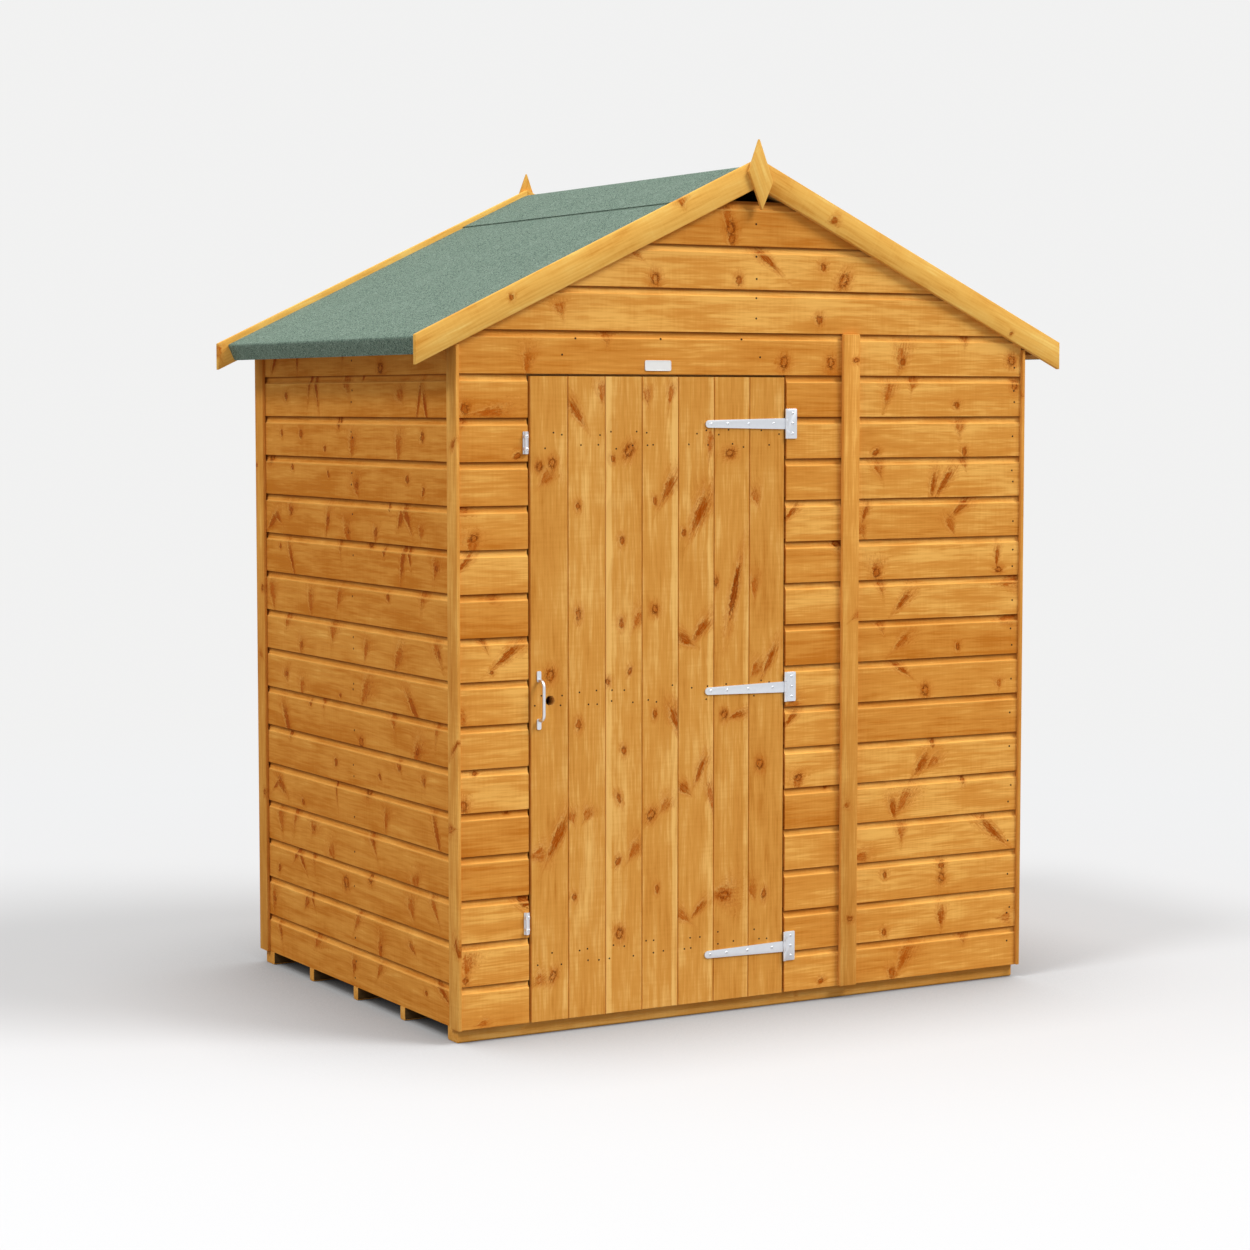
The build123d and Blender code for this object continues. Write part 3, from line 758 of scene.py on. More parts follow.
@dataclass(frozen=True)
class PineGrain:
    """The grain, knots and colour changes of sawn pine, for every timber finish.

    Bands are as in the knots' marks, with places across the board from its middle. A share says
    how strongly a thing shows.
    """

    ring_pitch: float = 4.2 * MM
    pitch_spread: float = 3 * MM
    pith_spread: float = 100 * MM
    pith_depth: float = 50 * MM
    wander_scales: Floats = (0.9, 9.0, 0.0)
    shake_scales: Floats = (6.0, 40.0, 1.0)
    shake: float = 5 * MM
    push: float = 10 * MM
    late_rise: Floats = (0.25, 0.88)
    late_fall: Floats = (1.0, 0.90)
    late_scales: Floats = (0.9, 3.0, 7.0)
    late_band: Floats = (0.42, 0.62, 0.25, 1.0)
    bend_scales: Floats = (1.6, 7.0, 9.0)
    bend: float = 16 * MM
    ragged: Layer = Layer((85.0, 150.0, 150.0), 2.0, 0.75)
    broad: Layer = Layer((5.0, 15.0, 15.0), 2.0, 0.60)
    streak: Layer = Layer((3.4, 66.0, 66.0), 3.0, 0.64)
    fine: Layer = Layer((16.0, 210.0, 210.0), 1.0, 0.55)
    ripple: Layer = Layer((140.0, 9.0, 9.0), 1.0, 0.5)
    height: Layer = Layer((6.0, 130.0, 130.0), 1.0, 0.6)
    broad_share: float = 1.30
    fine_share: float = 0.70
    ripple_share: float = 0.24
    fall_rate: float = 17.0
    mid_band: Floats = (-0.10, 0.55)
    deep_band: Floats = (0.45, 1.22)
    blush_share: float = 0.62
    halo_share: float = 0.88
    cheek_share: float = 0.38
    rim_share: float = 0.85
    # a pale band along the cove's lower rim: painted highlight
    highlight_rise: Floats = (29.0 * MM, 32.5 * MM)
    highlight_fall: Floats = (38.5 * MM, 33.5 * MM)
    highlight_share: float = 0.45
    # a dark band at the top of the cove, under the upper board's lip: painted shade
    lip_shade_band: Floats = (45.5 * MM, 53.0 * MM)
    lip_shade_share: float = 0.70
    sap_edge: Floats = (34 * MM, 41 * MM)
    sap_band: Floats = (0.45, 0.95)
    rough_band: Floats = (0.3, 0.7, 0.70, 0.58)
    knot_polish: float = 0.15

    def build(self) -> Group:
        """Builds the group.

        Returns:
            The group with its colour, roughness and height.
        """
        inputs = dict.fromkeys(PINE_COLOURS, Kind.COLOUR) | dict.fromkeys(PINE_VALUES, Kind.VALUE)
        outputs = {"Color": Kind.COLOUR, "Roughness": Kind.VALUE, "Height": Kind.VALUE}
        group = Group("pine_grain", inputs, outputs)
        graph, source = group.graph, group.source
        grain = graph.attribute("grain")
        along, across, depth = graph.split(grain)
        lot_tone, lot_pith, lot_row = graph.split(graph.attribute("lot"))
        ragged = graph.less(self.ragged.read(graph, grain), MIDDLE)
        heart, rim, halo, cheek = self.knots(graph, ragged)
        lot = (lot_tone, lot_pith, lot_row)
        late = self.rings(graph, (along, across, depth), lot, halo)
        bend = graph.cloud(graph.weighed((along, across, lot_row), self.bend_scales), detail=0.0)
        aside = graph.times(graph.plus(bend, halo), self.bend)
        lane = graph.join(along, graph.plus(across, aside), depth)
        streak = self.streak.read(graph, lane)

        tone = graph.plus(MIDDLE, graph.times(graph.less(lot_tone, MIDDLE), source["Lots"]))
        fields = (
            (self.broad.read(graph, lane), self.broad_share),
            (streak, source["Streaks"]),
            (self.fine.read(graph, lane), self.fine_share),
            (self.ripple.read(graph, grain), self.ripple_share),
        )
        for value, share in fields:
            tone = graph.plus(tone, graph.times(graph.less(value, MIDDLE), share))
        tone = graph.less(tone, graph.times(across, source["Fall"], self.fall_rate))
        tone = graph.less(tone, self.sapwood(graph, across, lot_pith, lot_row, source["Sap"]))
        colour = graph.mix(graph.step(tone, *self.mid_band), source["Pale"], source["Mid"])
        colour = graph.mix(graph.step(tone, *self.deep_band), colour, source["Deep"])
        shown = graph.cloud(graph.weighed((along, across, lot_tone), self.late_scales), detail=0.0)
        late = graph.times(late, graph.step(shown, *self.late_band))
        colour = graph.mix(graph.times(late, source["Rings"]), colour, source["Deep"])
        blush = graph.mix(self.blush_share, source["Deep"], source["Knot"])
        colour = graph.mix(graph.times(halo, self.halo_share), colour, blush)
        colour = graph.mix(graph.times(cheek, self.cheek_share), colour, source["Pale"])
        colour = graph.mix(heart, colour, source["Knot"])
        colour = graph.mix(graph.times(rim, self.rim_share), colour, source["Rim"])
        # painted highlight along the cove's lower rim, paler where top light would catch it
        rise, fall = graph.step(across, *self.highlight_rise), graph.step(across, *self.highlight_fall)
        painted_highlight = graph.times(rise, fall, source["Joint"], self.highlight_share)
        colour = graph.mix(painted_highlight, colour, source["Pale"])
        # painted shade where the upper board's lip overhangs the cove
        painted_lip_shade = graph.times(graph.step(across, *self.lip_shade_band), source["Joint"], self.lip_shade_share)
        colour = graph.mix(painted_lip_shade, colour, source["Rim"])

        polish = graph.times(heart, self.knot_polish)
        graph.feed(group.sink["Color"], colour)
        graph.feed(group.sink["Roughness"], graph.less(graph.step(streak, *self.rough_band), polish))
        graph.feed(group.sink["Height"], self.height.read(graph, grain))
        return group

    def knots(self, graph: Graph, ragged: Socket) -> list[Socket]:
        """Adds the knots that the board's points know of.

        Args:
            graph: the group's graph.
            ragged: the field that frays a knot's edge.

        Returns:
            The heart, the rim, the reddened wood and the pale cheek.
        """
        marks = group_of(KnotMarks)
        found: list[Socket] = []
        for index in range(KNOT_LISTS):
            place, form = graph.attribute(f"knot_{index}"), graph.attribute(f"form_{index}")
            parts = list(marks.use(graph, Place=place, Form=form, Ragged=ragged).outputs)
            found = [graph.maths("MAXIMUM", a, b) for a, b in zip(found, parts)] if found else parts
        return found

    def sapwood(self, graph: Graph, across: Socket, pith: Socket, row: Socket, share: Socket) -> Socket:
        """Adds a pale stripe of sapwood down one edge of some boards.

        Args:
            graph: the group's graph.
            across: the place across the board.
            pith: the number that says which edge.
            row: the number that says how strong the stripe is.
            share: the stripe's strength in this finish.

        Returns:
            How much paler the wood is.
        """
        edge = graph.times(across, graph.maths("SIGN", graph.less(pith, MIDDLE)))
        return graph.times(graph.step(edge, *self.sap_edge), graph.step(row, *self.sap_band), share)

    def rings(self, graph: Graph, place: Sequence[Socket], lot: Sequence[Socket], halo: Socket) -> Socket:
        """Adds the year rings, as a board sawn off its tree's heart shows them.

        Args:
            graph: the group's graph.
            place: the place along, across and out of the board.
            lot: the board's own random numbers.
            halo: the wood that a knot pushes aside.

        Returns:
            How much late, dark wood there is.
        """
        along, across, depth = place
        tone, pith, row = lot
        wander = graph.cloud(graph.weighed((along, row, 0.0), self.wander_scales), detail=0.0)
        heart = graph.times(graph.less(pith, MIDDLE), self.pith_spread)
        below = graph.times(graph.plus(row, wander), self.pith_depth)
        radius = graph.length(graph.less(across, heart), graph.plus(below, depth))
        shake = graph.cloud(graph.weighed((along, across, tone), self.shake_scales), detail=1.0)
        radius = graph.plus(radius, graph.times(shake, self.shake))
        radius = graph.plus(radius, graph.times(halo, self.push))
        pitch = graph.plus(graph.times(tone, self.pitch_spread), self.ring_pitch)
        phase = graph.maths("FRACT", graph.over(radius, pitch))
        return graph.times(graph.step(phase, *self.late_rise), graph.step(phase, *self.late_fall))


@dataclass(frozen=True)
class MetalBloom:
    """The faint crystal bloom and handling marks of plated steel, for every metal finish."""

    crystals: float = 150.0
    crystal_share: float = 0.10
    crystal_height: float = 0.3
    smears: Floats = (4.0, 0.6, 60.0)  # detail, roughness and repeats per metre
    smear_band: Floats = (0.42, 0.70, 0.0, 0.20)
    rough_line: Floats = (0.16, -0.06)

    def build(self) -> Group:
        """Builds the group.

        Returns:
            The group with its colour, roughness and height.
        """
        inputs = {"Place": Kind.VECTOR, "Light": Kind.COLOUR, "Dark": Kind.COLOUR, "Rough": Kind.VALUE}
        outputs = {"Color": Kind.COLOUR, "Roughness": Kind.VALUE, "Height": Kind.VALUE}
        group = Group("metal_bloom", inputs, outputs)
        graph, source = group.graph, group.source
        crystal = graph.cells(source["Place"], self.crystals)
        grey, _, _ = graph.split(crystal.outputs["Color"])
        smear = graph.cloud(source["Place"], *self.smears)
        dulled = graph.plus(graph.times(grey, self.crystal_share), graph.step(smear, *self.smear_band))
        graph.feed(group.sink["Color"], graph.mix(dulled, source["Light"], source["Dark"]))
        spread = graph.maths("MULTIPLY_ADD", dulled, *self.rough_line)
        graph.feed(group.sink["Roughness"], graph.plus(source["Rough"], spread))
        graph.feed(group.sink["Height"], graph.plus(smear, graph.times(grey, self.crystal_height)))
        return group


class Finish:
    """A finish that makes its material once."""

    name: str
    gloss: float
    relief: float
    relief_height: float

    def material(self) -> bpy.types.Material:
        """Gives the finish's material, and builds it the first time."""
        made = bpy.data.materials.get(self.name)
        return made if made else self.build()

    def start(self) -> tuple[bpy.types.Material, Graph, bpy.types.Node]:
        """Makes an empty material with a plain shader.

        Returns:
            The material, its graph and its shader node.
        """
        made = bpy.data.materials.new(self.name)
        made.use_nodes = True
        graph = Graph(made.node_tree)
        return made, graph, made.node_tree.nodes["Principled BSDF"]

    def dress(
        self, graph: Graph, shader: bpy.types.Node, colour: Socket, rough: Socket, height: Socket
    ) -> None:
        """Feeds a colour, a roughness and a height into the shader.

        Args:
            graph: the material's graph.
            shader: the shader node.
            colour: the colour's socket.
            rough: the roughness's socket.
            height: the height's socket, in units of the relief's height.
        """
        bump = graph.put("ShaderNodeBump")
        bump.inputs["Strength"].default_value = self.relief
        bump.inputs["Distance"].default_value = self.relief_height
        graph.feed(bump.inputs["Height"], height)
        graph.feed(shader.inputs["Normal"], bump.outputs["Normal"])
        graph.feed(shader.inputs["Base Color"], colour)
        graph.feed(shader.inputs["Roughness"], rough)
        shader.inputs["Specular IOR Level"].default_value = self.gloss


@dataclass(frozen=True)
class Wood(Finish):
    """Dipped pine in one palette."""

    name: str
    pale: Colour
    mid: Colour
    deep: Colour
    knot: Colour = (0.500, 0.096, 0.003)
    rim: Colour = (0.135, 0.020, 0.001)
    lots: float = 0.55
    rings: float = 0.26
    fall: float = 0.0
    sap: float = 0.0
    # joint: strength of the painted highlight on the cove's rim and the painted shade under the lip
    joint: float = 0.0
    streaks: float = 1.35
    gloss: float = 0.012
    relief: float = 0.35
    relief_height: float = 1.2 * MM

    def build(self) -> bpy.types.Material:
        """Builds the material.

        Returns:
            The wood's material.
        """
        made, graph, shader = self.start()
        feeds = {name: getattr(self, name.lower()) for name in PINE_COLOURS + PINE_VALUES}
        node = group_of(PineGrain).use(graph, **feeds)
        self.dress(graph, shader, *node.outputs)
        return made


@dataclass(frozen=True)
class Metal(Finish):
    """Plated steel."""

    name: str
    light: Colour
    dark: Colour
    rough: float = 0.34
    metallic: float = 1.0
    gloss: float = 0.5
    relief: float = 0.12
    relief_height: float = 0.4 * MM

    def build(self) -> bpy.types.Material:
        """Builds the material.

        Returns:
            The metal's material.
        """
        made, graph, shader = self.start()
        looks = {"Light": self.light, "Dark": self.dark, "Rough": self.rough}
        node = group_of(MetalBloom).use(graph, Place=graph.place(), **looks)
        self.dress(graph, shader, *node.outputs)
        shader.inputs["Metallic"].default_value = self.metallic
        return made


@dataclass(frozen=True)
class Felt(Finish):
    """Green mineral roofing felt."""

    name: str = "green_felt"
    chip: Colour = (0.268, 0.350, 0.280)
    body: Colour = (0.148, 0.222, 0.169)
    tar: Colour = (0.046, 0.074, 0.056)
    grains: float = 400.0
    drifts: Floats = (3.0, 0.6, 9.0)  # detail, roughness and repeats per metre
    flecks: Floats = (3.0, 0.7, 230.0)
    body_band: Floats = (0.10, 0.55)
    chip_band: Floats = (0.55, 1.0)
    fleck_band: Floats = (0.52, 0.75, 0.0, 0.5)
    drift_band: Floats = (0.45, 0.75, 0.0, 0.14)
    rough_band: Floats = (0.0, 1.0, 0.96, 0.80)
    gloss: float = 0.25
    grain_height: float = -1.2
    relief: float = 0.5
    relief_height: float = 1.5 * MM

    def build(self) -> bpy.types.Material:
        """Builds the material.

        Returns:
            The felt's material.
        """
        made, graph, shader = self.start()
        place = graph.place()
        grit = graph.cells(place, self.grains)
        shade, glint, _ = graph.split(grit.outputs["Color"])
        drift = graph.cloud(place, *self.drifts)
        fine = graph.cloud(place, *self.flecks)
        colour = graph.mix(graph.step(shade, *self.body_band), self.tar, self.body)
        colour = graph.mix(graph.step(glint, *self.chip_band), colour, self.chip)
        colour = graph.mix(graph.step(fine, *self.fleck_band), colour, self.tar)
        colour = graph.mix(graph.step(drift, *self.drift_band), colour, self.chip)
        height = graph.plus(graph.times(grit.outputs["Distance"], self.grain_height), fine)
        self.dress(graph, shader, colour, graph.step(glint, *self.rough_band), height)
        return made


CLAD = Wood(
    "dipped_shiplap",
    (0.89, 0.470, 0.110),
    (0.71, 0.300, 0.052),
    (0.56, 0.185, 0.020),
    fall=0.13,
    # the cladding shows the painted cove highlight and the painted shade under the lip
    joint=1.0,
)
LEAF = Wood(
    "dipped_door_board",
    (0.87, 0.500, 0.145),
    (0.69, 0.312, 0.060),
    (0.53, 0.190, 0.024),
    rings=0.20,
    sap=0.55,
    streaks=0.95,
)
TRIM = Wood("pale_trim", (0.93, 0.620, 0.175), (0.86, 0.475, 0.103), (0.69, 0.290, 0.042), lots=0.35)
STRIP = Wood("strip_trim", (0.86, 0.450, 0.105), (0.70, 0.305, 0.056), (0.54, 0.188, 0.025), lots=0.30)
SAWN = Wood("sawn_framing", (0.66, 0.42, 0.165), (0.56, 0.315, 0.095), (0.42, 0.200, 0.045), lots=0.5)
SKID = Wood("floor_bearer", (0.76, 0.410, 0.105), (0.66, 0.300, 0.058), (0.50, 0.195, 0.028), lots=0.4)
# the bearers' sides under the floor: a dark finish that is painted shade
SHADED_BEARER_SIDE = Wood("bearer_side_painted_shade", (0.130, 0.078, 0.032), (0.095, 0.053, 0.020), (0.065, 0.034, 0.012), lots=0.4)
ZINC = Metal("bright_zinc", (0.75, 0.772, 0.81), (0.60, 0.620, 0.66), rough=0.40)
PLATE = Metal("blank_plate", (0.84, 0.83, 0.81), (0.74, 0.73, 0.71), rough=0.46, metallic=0.25)
NAIL = Metal("nail_head", (0.060, 0.026, 0.010), (0.030, 0.013, 0.006), rough=0.75, metallic=0.0, gloss=0.05)
# dark bars on the screw domes stand for the slots' recess: painted shade
SHADE = Metal("screw_slot_shade", (0.22, 0.22, 0.22), (0.12, 0.12, 0.12), rough=0.6)
FELT = Felt()


def fit(piece: bpy.types.Object, finish: Finish, body: Body, nodes: Sequence[str] = ()) -> None:
    """Gives a piece its finish, its body and the nodes that it stands for.

    Args:
        piece: the new object.
        finish: its finish.
        body: the body that it rides on.
        nodes: the nodes that it replaces.
    """
    piece.data.materials.append(finish.material())
    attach(piece, body.value)
    if nodes:
        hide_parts(*nodes)
    log.info("%s: %d faces on %s", piece.name, len(piece.data.polygons), body.value)


def mesh_object(
    name: str, points: Sequence[Vector], faces: Sequence[Sequence[int]], angle: float = 35.0
) -> bpy.types.Object:
    """Makes a linked mesh object with smooth curves and sharp corners.

    Args:
        name: the object's name.
        points: its points.
        faces: its faces as rows of point numbers.
        angle: the corner, in degrees, from which an edge stays sharp.

    Returns:
        The new object.
    """
    mesh = bpy.data.meshes.new(name)
    mesh.from_pydata([tuple(point) for point in points], [], faces)
    tidy = bmesh.new()
    tidy.from_mesh(mesh)
    bmesh.ops.recalc_face_normals(tidy, faces=tidy.faces)
    tidy.to_mesh(mesh)
    tidy.free()
    mesh.shade_smooth()
    mesh.set_sharp_from_angle(angle=math.radians(angle))
    piece = bpy.data.objects.new(name, mesh)
    bpy.context.collection.objects.link(piece)
    return piece


def ring_faces(start: int, rings: int, count: int) -> list[list[int]]:
    """Joins rings of points into a closed skin with a cap at each end.

    Args:
        start: the number of the first point.
        rings: how many rings there are.
        count: the points in each ring.

    Returns:
        The faces as rows of point numbers.
    """
    last = start + (rings - 1) * count
    faces = []
    for low in range(start, last, count):
        for i in range(count):
            j = (i + 1) % count
            faces.append([low + i, low + j, low + count + j, low + count + i])
    return faces + [list(range(last, last + count)), list(reversed(range(start, start + count)))]


def eased_plank(width: float, gap: float, thick: float, ease: float, share: float = 1.0) -> list[Point]:
    """Gives the section of a plank with two eased edges.

    Args:
        width: the width that it takes up.
        gap: its share of the joint on each side.
        thick: its thickness.
        ease: how deep the eased edges are.
        share: how wide they are, as a share of that.

    Returns:
        The section's points.
    """
    low, high, side = gap, width - gap, ease * share
    rows = [(low, 0.0), (low, thick - ease), (low + side, thick)]
    return rows + [(high - side, thick), (high, thick - ease), (high, 0.0)]


@dataclass
class Board:
    """One board: a section swept along its grain.

    The section is rows of (across, out) from the origin, and each cut is a point and the
    direction of the side that falls away.
    """

    origin: Vector
    along: Vector
    across: Vector
    length: float
    section: list[Point]
    cuts: list[Cut] = field(default_factory=list)
    knots: list[Knot] = field(default_factory=list)
    lot: Vector | None = None
    bow: float = 0.0004
    station: float = 0.16

    @property
    def middle(self) -> float:
        """The place of the board's middle line, across from its origin."""
        places = [across for across, _ in self.section]
        return (min(places) + max(places)) / 2

    @property
    def start(self) -> Vector:
        """The start of the middle line on the board's back."""
        return self.origin + self.across * self.middle

    def mesh(self, rng: random.Random) -> bmesh.types.BMesh:
        """Sweeps the section and cuts it.

        Args:
            rng: the source of the board's slight bow.

        Returns:
            The board's mesh.
        """
        out = self.along.cross(self.across)
        count = max(2, round(self.length / self.station))
        shares = {index / count for index in range(count + 1)}
        shares |= {place / self.length for place in seams(self.knots)}
        swing, lift = rng.uniform(-1.0, 1.0), rng.uniform(-1.0, 0.0)
        grid = bmesh.new()
        rows = []
        for share in sorted(shares):
            base = self.origin + self.along * (self.length * share)
            base = base + self.across * (self.bow * swing * math.sin(math.tau * share))
            base = base + out * (self.bow * lift * math.sin(math.pi * share))
            rows.append([grid.verts.new(base + self.across * a + out * o) for a, o in self.section])
        size = len(self.section)
        for first, second in zip(rows, rows[1:]):
            for i in range(size):
                j = (i + 1) % size
                grid.faces.new((first[i], first[j], second[j], second[i]))
        grid.faces.new(rows[0])
        grid.faces.new(list(reversed(rows[-1])))
        for point, away in self.cuts:
            parts = grid.verts[:] + grid.edges[:] + grid.faces[:]
            bmesh.ops.bisect_plane(grid, geom=parts, plane_co=point, plane_no=away, clear_outer=True)
            open_edges = [edge for edge in grid.edges if edge.is_boundary]
            bmesh.ops.holes_fill(grid, edges=open_edges)
        return grid


@dataclass
class Seat:
    """Where one board lies, as its grain and its knots need to know."""

    origin: Vector
    along: Vector
    across: Vector
    shift: float
    lot: Vector
    lists: list[list[Knot]]

    def place(self, point: Vector) -> tuple[float, float, float]:
        """Gives a point's place along, across and out of the board."""
        offset, out = point - self.origin, self.along.cross(self.across)
        return offset.dot(self.along), offset.dot(self.across), offset.dot(out)

    def nearest(self, index: int, along: float) -> Knot:
        """Gives the knot of one list that lies nearest along the board."""
        row = self.lists[index]
        return min(row, key=lambda knot: abs(knot.along - along)) if row else NO_KNOT


class Timber:
    """Gathers boards into one mesh whose points know their place in the grain."""

    def __init__(self, name: str, seed: int) -> None:
        """Starts an empty piece.

        Args:
            name: the piece's name.
            seed: the start of its random numbers.
        """
        self.name = name
        self.rng = random.Random(seed)
        self.points: list[Vector] = []
        self.faces: list[list[int]] = []
        self.owners: list[int] = []
        self.seats: list[Seat] = []

    def add(self, board: Board) -> None:
        """Adds one swept board.

        Args:
            board: the board, with its knots.
        """
        grid = board.mesh(self.rng)
        lot = board.lot or Vector([self.rng.random() for _ in range(3)])
        shift = self.rng.uniform(0.0, GRAIN_SPAN)
        seat = Seat(board.start, board.along, board.across, shift, lot, deal(board.knots))
        self.take(grid, grid.verts, seat)
        grid.free()

    def take(self, grid: bmesh.types.BMesh, points: Iterable[bmesh.types.BMVert], seat: Seat) -> None:
        """Takes one board's points and faces.

        Args:
            grid: the mesh that holds the board.
            points: the board's points.
            seat: where the board lies.
        """
        numbers = {}
        for point in points:
            numbers[point] = len(self.points)
            self.points.append(point.co.copy())
            self.owners.append(len(self.seats))
        self.seats.append(seat)
        for face in grid.faces:
            if face.verts[0] in numbers:
                self.faces.append([numbers[point] for point in face.verts])

    def grain(self, mesh: bpy.types.Mesh) -> None:
        """Writes the grain, the board's own numbers and the knots on the corners of each face.

        Args:
            mesh: the finished mesh.
        """
        rows: dict[str, list[float]] = {"grain": [], "lot": []}
        for index in range(KNOT_LISTS):
            rows[f"knot_{index}"], rows[f"form_{index}"] = [], []
        for face in mesh.polygons:
            seat = self.seats[self.owners[face.vertices[0]]]
            middle = seat.place(face.center)[0]
            nearest = [seat.nearest(index, middle) for index in range(KNOT_LISTS)]
            for number in face.vertices:
                along, across, out = seat.place(mesh.vertices[number].co)
                rows["grain"] += (along + seat.shift, across, out)
                rows["lot"].extend(seat.lot)
                for index, knot in enumerate(nearest):
                    rows[f"knot_{index}"] += knot.seen_from(along, across)
                    rows[f"form_{index}"] += knot.form()
        for title, values in rows.items():
            mesh.attributes.new(title, "FLOAT_VECTOR", "CORNER").data.foreach_set("vector", values)

    def build(self, finish: Finish, body: Body, slot: Slot, *nodes: str) -> bpy.types.Object:
        """Makes the object and fits it.

        Args:
            finish: the piece's finish.
            body: the body that it rides on.
            slot: the record's slot; not used.
            nodes: the nodes that it replaces.

        Returns:
            The new object.
        """
        piece = mesh_object(self.name, self.points, self.faces)
        self.grain(piece.data)
        fit(piece, finish, body, nodes)
        return piece


def solid_copy(node: str, ease: float, sharp: float = 30.0) -> bmesh.types.BMesh:
    """Copies a node's solids with eased edges.

    Args:
        node: the node's name.
        ease: the width of the eased edge, in metres.
        sharp: the corner, in degrees, from which an edge is eased.

    Returns:
        The eased mesh.
    """
    grid = bmesh.new()
    grid.from_mesh(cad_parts[node].data)
    bmesh.ops.remove_doubles(grid, verts=grid.verts, dist=WELD_GAP)
    bmesh.ops.dissolve_limit(grid, angle_limit=FLAT_ANGLE, verts=grid.verts, edges=grid.edges)
    corners = [e for e in grid.edges if len(e.link_faces) == 2 and e.calc_face_angle() > math.radians(sharp)]
    if ease > 0.0:
        bmesh.ops.bevel(
            grid,
            geom=corners,
            offset=ease,
            segments=EASE_STEPS,
            profile=0.5,
            affect="EDGES",
            clamp_overlap=True,
        )
    return grid


def islands(grid: bmesh.types.BMesh) -> list[list[bmesh.types.BMVert]]:
    """Lists a mesh's separate solids.

    Args:
        grid: the mesh.

    Returns:
        The points of each solid.
    """
    left = set(grid.verts)
    found = []
    for seed in grid.verts:
        if seed not in left:
            continue
        left.discard(seed)
        group, queue = [seed], [seed]
        while queue:
            for edge in queue.pop().link_edges:
                for point in edge.verts:
                    if point in left:
                        left.discard(point)
                        group.append(point)
                        queue.append(point)
        found.append(group)
    return found


def split_solid(
    grid: bmesh.types.BMesh, group: Sequence[bmesh.types.BMVert], place: Vector, way: Vector
) -> list[bmesh.types.BMVert]:
    """Draws a cut line round one solid without parting it.

    Args:
        grid: the mesh that holds the solid.
        group: the solid's points.
        place: a point on the cut.
        way: the direction square to the cut.

    Returns:
        The solid's points, with the new ones.
    """
    inside = set(group)
    edges = [edge for edge in grid.edges if edge.verts[0] in inside]
    faces = [face for face in grid.faces if face.verts[0] in inside]
    parts = [*group, *edges, *faces]
    cut = bmesh.ops.bisect_plane(grid, geom=parts, plane_co=place, plane_no=way)["geom_cut"]
    new = [part for part in cut if isinstance(part, bmesh.types.BMVert) and part not in inside]
    return [*group, *new]


def dressed_solids(
    name: str,
    nodes: Sequence[str],
    finish: Finish,
    slot: Slot,
    seed: int,
    body: Body = Body.SHED,
    along: Vector | None = None,
    ease: float = 1.2 * MM,
    knot_gap: float = 0.5,
) -> bpy.types.Object:
    """Dresses the solids of plain timber nodes, each with its own grain.

    Args:
        name: the piece's name.
        nodes: the nodes that it stands for.
        finish: the timber's finish.
        slot: the record's slot; not used, only passed on.
        seed: the start of its random numbers.
        body: the body that it rides on.
        along: the way the grain runs, or none for each solid's longest side.
        ease: the width of the eased edges.
        knot_gap: the mean gap between knots.

    Returns:
        The new object.
    """
    timber = Timber(name, seed)
    rng = timber.rng
    for node in nodes:
        grid = solid_copy(node, ease)
        for group in islands(grid):
            low = Vector([min(point.co[i] for point in group) for i in range(3)])
            high = Vector([max(point.co[i] for point in group) for i in range(3)])
            sides = sorted(range(3), key=lambda i: low[i] - high[i])
            grain = along if along else AXES[sides[0]]
            across = AXES[sides[1]]
            across = (across - grain * across.dot(grain)).normalized()
            middle = (low + high) / 2
            ends = [(point.co - middle).dot(grain) for point in group]
            edges = [(point.co - middle).dot(across) for point in group]
            knots = SCATTER.over(rng, max(ends) - min(ends), max(edges) - min(edges), knot_gap)
            start = middle + grain * min(ends)
            lot = Vector([rng.random() for _ in range(3)])
            seat = Seat(start, grain, across, rng.uniform(0.0, GRAIN_SPAN), lot, deal(knots))
            for place in seams(knots):
                group = split_solid(grid, group, start + grain * place, grain)
            timber.take(grid, group, seat)
        grid.free()
    return timber.build(finish, body, slot, *nodes)


@dataclass
class Nails:
    """Nail heads set a little into the boards."""

    name: str
    radius: float = 2.9 * MM
    proud: float = 0.25 * MM
    sunk: float = 1.0 * MM
    crown: float = 0.8
    sides: int = 10
    points: list[Vector] = field(default_factory=list)
    faces: list[list[int]] = field(default_factory=list)

    def add(self, place: Vector, out: Vector) -> None:
        """Adds one head.

        Args:
            place: the point on the board's face.
            out: the way the board faces.
        """
        first = out.orthogonal().normalized()
        second = out.cross(first)
        start = len(self.points)
        rings = ((1.0, -self.sunk), (1.0, 0.0), (self.crown, self.proud))
        for share, lift in rings:
            for index in range(self.sides):
                turn = math.tau * index / self.sides
                spoke = first * math.cos(turn) + second * math.sin(turn)
                self.points.append(place + spoke * (self.radius * share) + out * lift)
        self.faces += ring_faces(start, len(rings), self.sides)

    def build(self, body: Body) -> None:
        """Makes the object and fits it."""
        piece = mesh_object(self.name, self.points, self.faces)
        fit(piece, NAIL, body)


